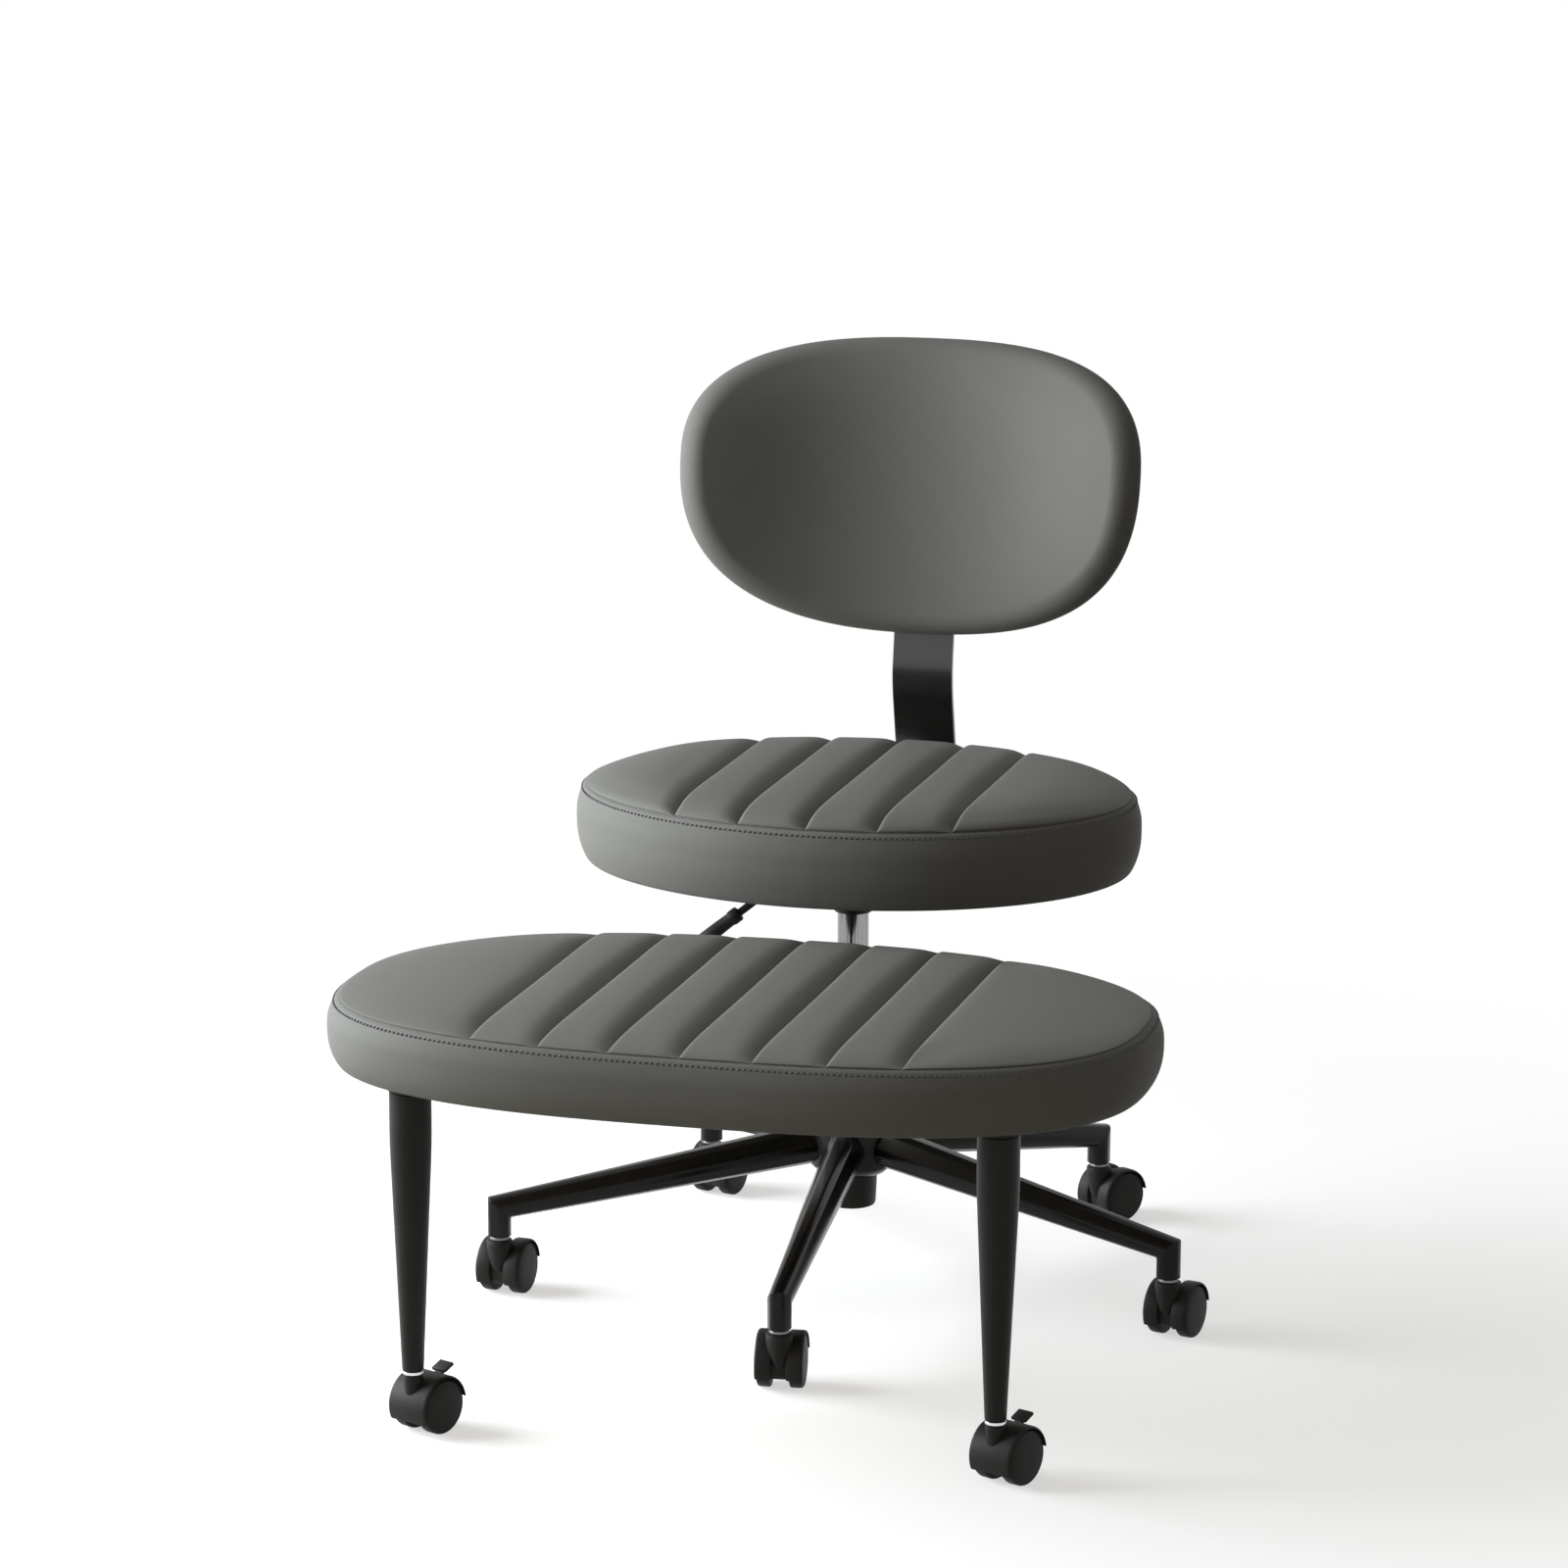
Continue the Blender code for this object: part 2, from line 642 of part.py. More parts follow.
def tube_mesh():
    """The outer column tube: a tapered foot through the hub, open at the top."""
    inside = TUBE_FOOT_RADIUS - TUBE_WALL
    return turned(
        [
            (TUBE_BORE, TUBE_TOP),
            (TUBE_RADIUS, TUBE_TOP),
            (TUBE_RADIUS, HUB_TOP),
            (TUBE_FOOT_RADIUS, TUBE_BOTTOM + 0.003),
            (TUBE_FOOT_RADIUS - 0.003, TUBE_BOTTOM),
            (0, TUBE_BOTTOM),
            (0, TUBE_BOTTOM + TUBE_FLOOR),
            (inside, TUBE_BOTTOM + TUBE_FLOOR),
            (TUBE_BORE, HUB_TOP),
        ],
        hollow=True,
    )


def bush_mesh():
    bore = CYLINDER_RADIUS + RUNNING
    flange = TUBE_TOP + GAP
    return turned(
        [
            (bore, flange + BUSH_FLANGE),
            (TUBE_RADIUS - 0.003, flange + BUSH_FLANGE),
            (TUBE_RADIUS, flange + BUSH_FLANGE - 0.002),
            (TUBE_RADIUS, flange),
            (TUBE_BORE - 2 * GAP, flange),
            (TUBE_BORE - 2 * GAP, flange - BUSH_LENGTH),
            (bore, flange - BUSH_LENGTH),
        ],
        hollow=True,
    )


def rod_mesh():
    """The piston rod, standing on its thrust washer inside the outer tube."""
    low = TUBE_BOTTOM + TUBE_FLOOR + GAP
    return turned(
        [
            (0, low + ROD_LENGTH),
            (ROD_RADIUS, low + ROD_LENGTH),
            (ROD_RADIUS, low + WASHER_HEIGHT),
            (WASHER_RADIUS, low + WASHER_HEIGHT),
            (WASHER_RADIUS, low),
            (0, low),
        ],
        PIN_SIDES,
    )


def cylinder_mesh():
    """The bright gas cylinder: a tapered top in the socket, a bore for the rod and one for the release pin."""
    bore = ROD_RADIUS + RUNNING
    hole = PIN_RADIUS + RUNNING
    pin_floor = PIN_TOP - PIN_LENGTH - PIN_TRAVEL
    return turned(
        [
            (0, pin_floor),
            (hole, pin_floor),
            (hole, CYLINDER_TOP),
            (CYLINDER_TOP_RADIUS, CYLINDER_TOP),
            (CYLINDER_RADIUS, SOCKET_BOTTOM),
            (CYLINDER_RADIUS, CYLINDER_BOTTOM),
            (bore, CYLINDER_BOTTOM),
            (bore, pin_floor - 0.006),
            (0, pin_floor - 0.006),
        ]
    )


def socket_mesh():
    """The taper socket under the mechanism box."""
    rise = (SOCKET_TOP - SOCKET_BOTTOM) / (CYLINDER_TOP - SOCKET_BOTTOM)
    top = CYLINDER_RADIUS + (CYLINDER_TOP_RADIUS - CYLINDER_RADIUS) * rise
    return turned(
        [
            (top + GAP, SOCKET_TOP),
            (SOCKET_RADIUS, SOCKET_TOP),
            (SOCKET_RADIUS, SOCKET_TOP - 0.006),
            (SOCKET_FOOT_RADIUS, SOCKET_BOTTOM),
            (CYLINDER_RADIUS + GAP, SOCKET_BOTTOM),
        ],
        hollow=True,
    )


def box_mesh():
    """The pressed mechanism box with two ears that hold the lever's pin, open at the top and at the lever."""
    floor = BOX_BOTTOM + BOX_WALL
    half_x = BOX_LENGTH / 2
    half_y = BOX_WIDTH / 2
    outside = slab(rounded(half_x, half_y, 0.008), BOX_BOTTOM, BOX_TOP)
    inside = slab(rounded(half_x - BOX_WALL, half_y - BOX_WALL, 0.0055), floor, BOX_TOP + 0.01)
    hole = cylinder(CYLINDER_RADIUS + RUNNING, BOX_BOTTOM - 0.01, floor + 0.01)
    way = turn(180 + LEVER_ASIDE, "Z")
    start = LEVER_RADIUS + 2 * RUNNING
    ears = []
    for side in (-1, 1):
        y0, y1 = sorted((side * start, side * (start + EAR_THICKNESS)))
        ear = block(LEVER_PIVOT - 0.005, LEVER_PIVOT + 0.004, y0, y1, floor - 0.001, LEVER_HEIGHT + 0.001)
        ears.append(moved(ear, way))
    notch = LEVER_PIN_RADIUS + RUNNING
    seat = block(
        LEVER_PIVOT - notch,
        LEVER_PIVOT + notch,
        -LEVER_PIN_LENGTH / 2 - RUNNING,
        LEVER_PIN_LENGTH / 2 + RUNNING,
        LEVER_HEIGHT - notch,
        BOX_TOP + 0.01,
    )
    slot = LEVER_RADIUS + 0.003
    way_out = block(LEVER_PIVOT + 0.0042, half_x + 0.02, -slot, slot, BOX_BOTTOM - 0.01, BOX_TOP + 0.01)
    pocket = combined(outside, cuts=[inside])
    return combined(pocket, ears, [hole, moved(seat, way), moved(way_out, way)])


def seat_plate_mesh():
    """The plate that bolts to the seat board, with four slots for its bolts."""
    plate = slab(rounded(SEAT_PLATE_SIDE / 2, SEAT_PLATE_SIDE / 2, 0.012), PLATE_BOTTOM, PLATE_BOTTOM + SEAT_PLATE)
    slots = []
    for x in (-1, 1):
        for y in (-1, 1):
            slot = slab(rounded(0.009, 0.004, 0.0039, 2), PLATE_BOTTOM - 0.01, PLATE_BOTTOM + SEAT_PLATE + 0.01)
            place = SEAT_PLATE_SIDE / 2 - 0.015
            slots.append(moved(slot, shift(x * place, y * place, 0), turn(90 if x * y > 0 else 0, "Z")))
    return combined(plate, cuts=slots)


def lever_rod_mesh():
    """The lever's rod about its pivot, outwards along +X: level over the release pin, then sloping down."""
    slope = math.radians(LEVER_SLOPE)
    end = Vector((math.cos(slope), -math.sin(slope))) * LEVER_LENGTH
    path = filleted([(-LEVER_PIVOT - 0.003, 0), (0, 0), end], 0.006, 3)
    pin = cylinder(LEVER_PIN_RADIUS, -LEVER_PIN_LENGTH / 2, LEVER_PIN_LENGTH / 2, 8)
    return combined(piped(path, LEVER_RADIUS, PIN_SIDES), [moved(pin, turn(90, "X"))])


def grip_mesh():
    """The lever's grip with its stepped collar, pushed over the rod's end."""
    bore = LEVER_RADIUS + GAP
    start = LEVER_LENGTH + 0.0004 + GRIP_END - GRIP_LENGTH
    grip = turned(
        [
            (0, GRIP_LENGTH),
            (GRIP_RADIUS - 0.002, GRIP_LENGTH),
            (GRIP_RADIUS, GRIP_LENGTH - 0.002),
            (GRIP_RADIUS - 0.0006, 0.011),
            (GRIP_COLLAR_RADIUS, 0.009),
            (GRIP_COLLAR_RADIUS, 0.0015),
            (GRIP_COLLAR_RADIUS - 0.0015, 0),
            (bore, 0),
            (bore, GRIP_LENGTH - GRIP_END),
            (0, GRIP_LENGTH - GRIP_END),
        ],
        16,
    )
    slope = math.radians(LEVER_SLOPE)
    place = shift(math.cos(slope) * start, 0, -math.sin(slope) * start)
    return moved(grip, place, turn(90 + LEVER_SLOPE, "Y"))


def back_bar_mesh():
    """The flat bar from under the seat board, up past its knee and behind the back board."""
    surface = -BACK_REAR - GAP - BACK_BOARD - GAP - BAR_THICKNESS / 2
    top = back_point(0, BAR_ABOVE, surface)
    knee = back_point(0, -BAR_KNEE, surface)
    low = SEAT_UNDERSIDE - GAP - BAR_THICKNESS / 2
    corner = knee[1] + (knee[2] - low) * math.tan(math.radians(BAR_LEAN))
    front = SEAT_PLATE_SIDE / 2 + BAR_PLATE_SPACE
    path = filleted([(front, low), (corner, low), knee[1:], top[1:]], BAR_BEND)
    return slab(strip(path, BAR_THICKNESS), -BAR_WIDTH / 2, BAR_WIDTH / 2, "X")


def foot_arm_mesh():
    """The arm that carries the foot pad's rear edge: a bar saddled on the sleeve, with a plate under the board."""
    bar = block(-ARM_WIDTH / 2, ARM_WIDTH / 2, -ARM_LENGTH, -0.8 * SLEEVE_RADIUS, ARM_TOP - ARM_HEIGHT, ARM_TOP)
    rear = -(FOOT_AHEAD - FOOT_DEPTH / 2) - BOARD_INSET
    middle = rear - 0.006 - ARM_PLATE_LENGTH / 2
    plate = slab(rounded(ARM_PLATE_WIDTH / 2, ARM_PLATE_LENGTH / 2, 0.012), ARM_TOP - 0.0004, ARM_TOP + ARM_PLATE)
    saddle = cylinder(SLEEVE_RADIUS + GAP, ARM_TOP - ARM_HEIGHT - 0.05, ARM_TOP + 0.05, 2 * SIDES)
    return combined(bar, [moved(plate, shift(0, middle, 0))], [saddle])


def leg_mesh():
    top = FOOT_UNDERSIDE - LEG_PLATE - 2 * GAP
    bore = SPIGOT_RADIUS + GAP
    stem_top = CASTER_HEIGHT + STEM_UP
    return turned(
        [
            (0, top - SPIGOT_LENGTH - GAP),
            (bore, top - SPIGOT_LENGTH - GAP),
            (bore, top),
            (LEG_TOP_RADIUS, top),
            (LEG_TOP_RADIUS, top - LEG_STRAIGHT),
            (LEG_FOOT_RADIUS, CASTER_HEIGHT),
            (STEM_BORE, CASTER_HEIGHT),
            (STEM_BORE, stem_top),
            (0, stem_top),
        ]
    )


def leg_plate_mesh():
    top = FOOT_UNDERSIDE - GAP
    return turned(
        [
            (0, top),
            (LEG_PLATE_RADIUS, top),
            (LEG_PLATE_RADIUS, top - LEG_PLATE),
            (SPIGOT_RADIUS, top - LEG_PLATE),
            (SPIGOT_RADIUS, top - LEG_PLATE - SPIGOT_LENGTH),
            (0, top - LEG_PLATE - SPIGOT_LENGTH),
        ]
    )


# Clear the scene
for old in list(bpy.data.objects):
    bpy.data.objects.remove(old)

# Looks
COVER = material("grey_cover", (0.36, 0.35, 0.34), 0.55)
PLYWOOD = material("board_wood", (0.45, 0.32, 0.20), 0.70)
BLACK_STEEL = material("black_steel", (0.025, 0.025, 0.027), 0.35, 0.2)
GLOSS_BLACK = material("gloss_black_steel", (0.018, 0.018, 0.020), 0.18, 0.2)
BRIGHT_STEEL = material("bright_steel", (0.75, 0.76, 0.78), 0.15, 1.0)
ZINC_STEEL = material("zinc_steel", (0.62, 0.63, 0.64), 0.35, 1.0)
BLACK_NYLON = material("black_nylon", (0.030, 0.030, 0.032), 0.50)
PALE_PLASTIC = material("pale_plastic", (0.70, 0.70, 0.68), 0.50)

# Meshes that repeat
STEM = stem_mesh()
WHEEL = wheel_mesh()
PLAIN_HOUSING = housing_mesh(STAR_BOSS_RADIUS, False)
BRAKED_HOUSING = housing_mesh(LEG_BOSS_RADIUS, True)
PEDAL = pedal_mesh()
STAR_ARM = star_arm_mesh()
LEG = leg_mesh()
LEG_PLATE_MESH = leg_plate_mesh()


def caster(name, parent, location, heading, housing):
    """A caster with its two wheels, trailing towards the heading. The frame for its pedal is returned."""
    swivel = frame(name + "_swivel", parent, location, heading)
    node(name + "_housing", housing, BLACK_NYLON, swivel)
    for side, letter in ((1, "a"), (-1, "b")):
        hub = frame(name + "_axle_" + letter, swivel, (TRAIL, side * WHEEL_START, AXLE_HEIGHT))
        hub.rotation_euler = (math.radians(-90 * side), 0, 0)
        node(name + "_wheel_" + letter, WHEEL, BLACK_NYLON, hub)
    return swivel


# The chair and its star base
chair = frame("chair", None)
base = frame("base", chair)
node("star_hub", hub_mesh(), GLOSS_BLACK, base)
node("column_tube", tube_mesh(), BLACK_STEEL, base)
node("guide_bush", bush_mesh(), PALE_PLASTIC, base)
for number, own_heading in enumerate(STAR_HEADINGS, 1):
    bearing = STAR_FIRST_ANGLE + 360 / len(STAR_HEADINGS) * (number - 1) - 90
    node(f"star_arm_{number}", STAR_ARM, GLOSS_BLACK, base, bearing)
    foot = Matrix.Rotation(math.radians(bearing), 3, "Z") @ Vector((STAR_RADIUS, 0, 0))
    socket = frame(f"star_socket_{number}", base, foot)
    node(f"star_stem_{number}", STEM, ZINC_STEEL, socket)
    caster(f"star_caster_{number}", socket, (0, 0, 0), own_heading, PLAIN_HOUSING)

# The foot pad, which swings about the column
footrest = frame("footrest", chair)
FOOT_OUTLINE = (
    marks_for(FOOT_GROOVES, FOOT_PITCH),
    FOOT_WIDTH / 2,
    FOOT_DEPTH / 2,
    FOOT_DEPTH / 2,
    FOOT_FRONT_EXPONENT,
    FOOT_REAR_EXPONENT,
)
foot_cover = padding(
    FOOT_OUTLINE,
    cover_levels(FOOT_SEAM_HEIGHT, FOOT_CROWN),
    lambda x, y, height: (x, y - FOOT_AHEAD, FOOT_UNDERSIDE + height),
)
foot_board = slab(
    [(x, y - FOOT_AHEAD) for x, y, *_ in outline_of(*FOOT_OUTLINE, BOARD_INSET + BOARD_CLEARANCE)],
    FOOT_UNDERSIDE,
    FOOT_UNDERSIDE + BOARD_THICKNESS,
)
node("foot_cushion", foot_cover, COVER, footrest)
node("foot_board", foot_board, PLYWOOD, footrest)
node("foot_arm", foot_arm_mesh(), BLACK_STEEL, footrest)
sleeve = turned(
    [
        (SLEEVE_BORE, ARM_TOP),
        (SLEEVE_RADIUS, ARM_TOP),
        (SLEEVE_RADIUS, SLEEVE_BOTTOM),
        (SLEEVE_BORE, SLEEVE_BOTTOM),
    ],
    hollow=True,
)
node("foot_sleeve", sleeve, BLACK_STEEL, footrest)
liner = turned(
    [
        (TUBE_RADIUS + RUNNING, ARM_TOP),
        (TUBE_RADIUS + RUNNING + LINER_WALL, ARM_TOP),
        (TUBE_RADIUS + RUNNING + LINER_WALL, HUB_TOP + GAP + LINER_FLANGE),
        (LINER_FLANGE_RADIUS, HUB_TOP + GAP + LINER_FLANGE),
        (LINER_FLANGE_RADIUS, HUB_TOP + GAP),
        (TUBE_RADIUS + RUNNING, HUB_TOP + GAP),
    ],
    hollow=True,
)
node("sleeve_liner", liner, PALE_PLASTIC, footrest)
for number, side in ((1, -1), (2, 1)):
    foot = frame(f"leg_socket_{number}", footrest, (side * LEG_ASIDE, -LEG_AHEAD, 0))
    node(f"leg_{number}", LEG, BLACK_STEEL, foot)
    node(f"leg_plate_{number}", LEG_PLATE_MESH, BLACK_STEEL, foot)
    node(f"leg_stem_{number}", STEM, ZINC_STEEL, foot)
    own = caster(f"leg_caster_{number}", foot, (0, 0, 0), LEG_HEADING, BRAKED_HOUSING)
    pivot = (TRAIL + PEDAL_PIVOT_BACK, 0, AXLE_HEIGHT + PEDAL_PIVOT_UP)
    hinge = frame(f"leg_caster_{number}_brake", own, pivot)
    node(f"leg_caster_{number}_pedal", PEDAL, BLACK_NYLON, hinge)

# The rod that turns on the column's floor, and the seat that rises along it
turning = frame("turning", chair)
node("piston_rod", rod_mesh(), BRIGHT_STEEL, turning)
seat = frame("seat", turning)
node("lift_cylinder", cylinder_mesh(), BRIGHT_STEEL, seat)
node("taper_socket", socket_mesh(), BLACK_STEEL, seat)
node("mechanism_box", box_mesh(), BLACK_STEEL, seat)
node("seat_plate", seat_plate_mesh(), BLACK_STEEL, seat)
SEAT_OUTLINE = (
    marks_for(SEAT_GROOVES, SEAT_PITCH),
    SEAT_WIDTH / 2,
    SEAT_DEPTH / 2,
    SEAT_DEPTH / 2,
    SEAT_EXPONENT,
    SEAT_EXPONENT,
)
seat_cover = padding(
    SEAT_OUTLINE,
    cover_levels(SEAT_SEAM_HEIGHT, SEAT_CROWN),
    lambda x, y, height: (x, y + SEAT_BEHIND, SEAT_UNDERSIDE + height),
)
seat_board = slab(
    [(x, y + SEAT_BEHIND) for x, y, *_ in outline_of(*SEAT_OUTLINE, BOARD_INSET + BOARD_CLEARANCE)],
    SEAT_UNDERSIDE,
    SEAT_UNDERSIDE + BOARD_THICKNESS,
)
node("seat_cushion", seat_cover, COVER, seat)
node("seat_board", seat_board, PLYWOOD, seat)

# The back on its bar
node("back_bar", back_bar_mesh(), BLACK_STEEL, seat)
BACK_OUTLINE = (
    [(0.04 * step, 0.0) for step in range(-3, 4)],
    BACK_HALF_ARC,
    BACK_BELOW,
    BACK_ABOVE,
    BACK_EXPONENT,
    BACK_EXPONENT,
)
back_cover = padding(
    BACK_OUTLINE,
    [
        (BACK_BOARD_INSET, 0.0, -BACK_REAR, 0, 0),
        (BACK_BOARD_INSET, 0.5, -BACK_REAR, 0, 0),
        (BACK_BOARD_INSET, 1.0, -BACK_REAR, 0, 0),
        (0.008, 1.0, -BACK_REAR, 0, 0),
        (0.002, 1.0, -0.4 * BACK_REAR, 0, 0),
        (0.0, 1.0, 0.1 * BACK_FRONT, 0, 0),
        (0.003, 1.0, 0.42 * BACK_FRONT, 0, 0),
        (0.012, 1.0, 0.64 * BACK_FRONT, 0, 0),
        (0.012, 0.7, 0.88 * BACK_FRONT, 0, 0),
        (0.012, 0.35, 0.97 * BACK_FRONT, 0, 0),
        (0.012, 0.0, BACK_FRONT, 0, 0),
    ],
    back_point,
)
rear_face = -BACK_REAR - GAP
back_board = padding(
    BACK_OUTLINE,
    [
        (BACK_BOARD_INSET, 0.0, rear_face, 0, 0),
        (BACK_BOARD_INSET, 0.5, rear_face, 0, 0),
        (BACK_BOARD_INSET, 1.0, rear_face, 0, 0),
        (BACK_BOARD_INSET, 1.0, rear_face - BACK_BOARD, 0, 0),
        (BACK_BOARD_INSET, 0.5, rear_face - BACK_BOARD, 0, 0),
        (BACK_BOARD_INSET, 0.0, rear_face - BACK_BOARD, 0, 0),
    ],
    back_point,
)
node("back_cushion", back_cover, COVER, seat)
node("back_board", back_board, BLACK_NYLON, seat)

# The lever and the pin that it presses
out = Matrix.Rotation(math.radians(180 + LEVER_ASIDE), 3, "Z") @ Vector((LEVER_PIVOT, 0, LEVER_HEIGHT))
lever = frame("lever", seat, out, 180 + LEVER_ASIDE)
node("lever_rod", lever_rod_mesh(), BLACK_STEEL, lever)
node("lever_grip", grip_mesh(), BLACK_NYLON, lever)
release = frame("release", seat)
node("release_pin", cylinder(PIN_RADIUS, PIN_TOP - PIN_LENGTH, PIN_TOP, PIN_SIDES), ZINC_STEEL, release)

# The origin goes on the floor under the middle of the whole chair
bpy.context.view_layer.update()
corners = []
for piece in bpy.data.objects:
    if piece.type == "MESH":
        corners += [piece.matrix_world @ vertex.co for vertex in piece.data.vertices]
middle_x = (min(point.x for point in corners) + max(point.x for point in corners)) / 2
middle_y = (min(point.y for point in corners) + max(point.y for point in corners)) / 2
chair.location = (-middle_x, -middle_y, -min(point.z for point in corners))
print("column axis at", tuple(round(value, 6) for value in chair.location))
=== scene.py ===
"""The swivel chair with its foot pad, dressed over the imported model. Metres, +Z up, the sitter faces -Y."""

import json
import math

import bmesh
import bpy
from mathutils import Matrix, Vector


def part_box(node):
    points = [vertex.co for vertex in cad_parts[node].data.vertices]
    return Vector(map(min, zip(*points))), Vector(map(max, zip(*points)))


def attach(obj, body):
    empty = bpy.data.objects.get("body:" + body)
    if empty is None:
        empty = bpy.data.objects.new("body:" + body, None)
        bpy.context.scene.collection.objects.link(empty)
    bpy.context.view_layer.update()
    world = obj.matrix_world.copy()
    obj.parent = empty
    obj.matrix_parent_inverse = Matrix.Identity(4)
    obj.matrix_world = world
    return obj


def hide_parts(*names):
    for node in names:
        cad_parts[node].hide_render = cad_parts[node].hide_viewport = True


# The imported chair, which every piece below is fitted to.
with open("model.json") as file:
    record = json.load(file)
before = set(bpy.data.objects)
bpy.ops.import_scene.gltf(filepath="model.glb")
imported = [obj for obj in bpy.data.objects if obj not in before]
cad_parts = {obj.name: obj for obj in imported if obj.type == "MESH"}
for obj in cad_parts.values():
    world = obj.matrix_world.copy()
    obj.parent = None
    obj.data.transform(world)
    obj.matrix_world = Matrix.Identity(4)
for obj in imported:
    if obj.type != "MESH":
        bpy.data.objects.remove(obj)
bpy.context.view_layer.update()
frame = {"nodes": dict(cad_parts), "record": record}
joints = {joint["name"]: joint for joint in frame["record"]["behaviour"]["joints"]}
column = Vector(joints["seat_swivel"]["pos_m"])

# The camera stands where the photograph was taken: ahead of the chair, to its left and above the seat.
# Its lens and turn follow from the column, the legs, the star and the pads in the picture.
IMAGE_WIDTH = 1600
FOCAL_PIXELS = 5804.43
SENSOR_WIDTH = 36.0
CAMERA_ROUND = math.radians(14.01)
CAMERA_RISE = math.radians(13.80)
CAMERA_AWAY = 5.10154
CAMERA_AIM_HEIGHT = 0.295
COLUMN_RIGHT_PIXELS = 71.56
COLUMN_UP_PIXELS = -188.63
CAMERA_YAW = math.atan2(COLUMN_RIGHT_PIXELS, FOCAL_PIXELS)
CAMERA_PITCH = math.atan2(COLUMN_UP_PIXELS, FOCAL_PIXELS)
CAMERA_ROLL = math.radians(0.38)
CAMERA_REACH = 60.0

behind = Vector((
    math.sin(CAMERA_ROUND) * math.cos(CAMERA_RISE),
    -math.cos(CAMERA_ROUND) * math.cos(CAMERA_RISE),
    math.sin(CAMERA_RISE),
))
level = Vector((math.cos(CAMERA_ROUND), math.sin(CAMERA_ROUND), 0))
yawed = -behind * math.cos(CAMERA_YAW) - level * math.sin(CAMERA_YAW)
across = level * math.cos(CAMERA_YAW) - behind * math.sin(CAMERA_YAW)
above = across.cross(yawed)
forward = yawed * math.cos(CAMERA_PITCH) - above * math.sin(CAMERA_PITCH)
above = above * math.cos(CAMERA_PITCH) + yawed * math.sin(CAMERA_PITCH)
right = across * math.cos(CAMERA_ROLL) + above * math.sin(CAMERA_ROLL)
above = above * math.cos(CAMERA_ROLL) - across * math.sin(CAMERA_ROLL)

camera_lens = bpy.data.cameras.new("photo_camera")
camera_lens.sensor_width = SENSOR_WIDTH
camera_lens.lens = FOCAL_PIXELS * SENSOR_WIDTH / IMAGE_WIDTH
camera_lens.clip_end = CAMERA_REACH
camera = bpy.data.objects.new("photo_camera", camera_lens)
bpy.context.scene.collection.objects.link(camera)
camera.matrix_world = Matrix.Translation(
    column + Vector((0, 0, CAMERA_AIM_HEIGHT)) + behind * CAMERA_AWAY
) @ Matrix((right, above, -forward)).transposed().to_4x4()
bpy.context.scene.camera = camera
bpy.context.scene.view_settings.view_transform = "Standard"


# The studio: a pale floor that runs into a white surround, and soft window light from the sitter's right.
# The camera sees white where nothing stands, and the floor keeps the chair's shadow.
FLOOR_SIZE = 24.0
FLOOR_COLOUR = (0.52, 0.52, 0.52, 1.0)
FLOOR_LIFT = 0.58
FLOOR_NEAR = 0.45
FLOOR_FAR = 1.50
AMBIENT = 0.12
BOUNCE_COLOUR = (0.34, 0.305, 0.25, 1.0)
AMBIENT_COLOUR = (1.0, 0.94, 0.83, 1.0)
WHITE = (1.0, 1.0, 1.0, 1.0)
LAMP_AIM = Vector((0, 0, 0.40))
LAMPS = (
    ("window_light", (-2.3, -0.36, 1.15), (1.9, 1.9), 168.0, (0.955, 1.0, 1.015)),
    ("front_fill", (0.6, -3.6, 2.4), (2.6, 1.6), 14.0, (1.0, 0.92, 0.80)),
    ("top_light", (-0.3, 0.6, 3.0), (2.4, 2.4), 6.0, (1.0, 0.96, 0.88)),
)


class Wire:
    """One output of a material's nodes. Sums and products of it, written with + and *, add Math nodes."""

    def __init__(self, tree, socket):
        self.tree = tree
        self.socket = socket

    def node(self, kind, settings, inputs, output=0):
        """Adds a node: first its settings, then its sockets' values or links."""
        made = self.tree.nodes.new(kind)
        for name, value in settings.items():
            setattr(made, name, value)
        for name, value in inputs.items():
            if isinstance(value, Wire):
                self.tree.links.new(value.socket, made.inputs[name])
            else:
                made.inputs[name].default_value = value
        return Wire(self.tree, made.outputs[output])

    def __add__(self, other):
        return self.node("ShaderNodeMath", {"operation": "ADD"}, {0: self, 1: other})

    def __mul__(self, other):
        return self.node("ShaderNodeMath", {"operation": "MULTIPLY"}, {0: self, 1: other})

    __radd__ = __add__
    __rmul__ = __mul__

    def to(self, node, name):
        self.tree.links.new(self.socket, node.inputs[name])


def seen_directly(tree):
    """One for rays from the camera, a mirror or clear glass, and nothing for light that falls on things."""
    path = tree.nodes.new("ShaderNodeLightPath")
    seen = Wire(tree, path.outputs["Is Camera Ray"])
    mirrored = Wire(tree, path.outputs["Is Glossy Ray"])
    through = Wire(tree, path.outputs["Is Transmission Ray"])
    return seen.node("ShaderNodeMath", {"operation": "MINIMUM"}, {0: seen + mirrored + through, 1: 1.0})


surround = bpy.context.scene.world or bpy.data.worlds.new("surround")
bpy.context.scene.world = surround
surround.use_nodes = True
surround.node_tree.nodes.clear()
seen = seen_directly(surround.node_tree)
dim = seen.node("ShaderNodeBackground", {}, {"Color": AMBIENT_COLOUR, "Strength": AMBIENT})
bright = seen.node("ShaderNodeBackground", {}, {"Color": WHITE, "Strength": 1.0})
mixed = seen.node("ShaderNodeMixShader", {}, {0: seen, 1: dim, 2: bright})
mixed.to(surround.node_tree.nodes.new("ShaderNodeOutputWorld"), "Surface")

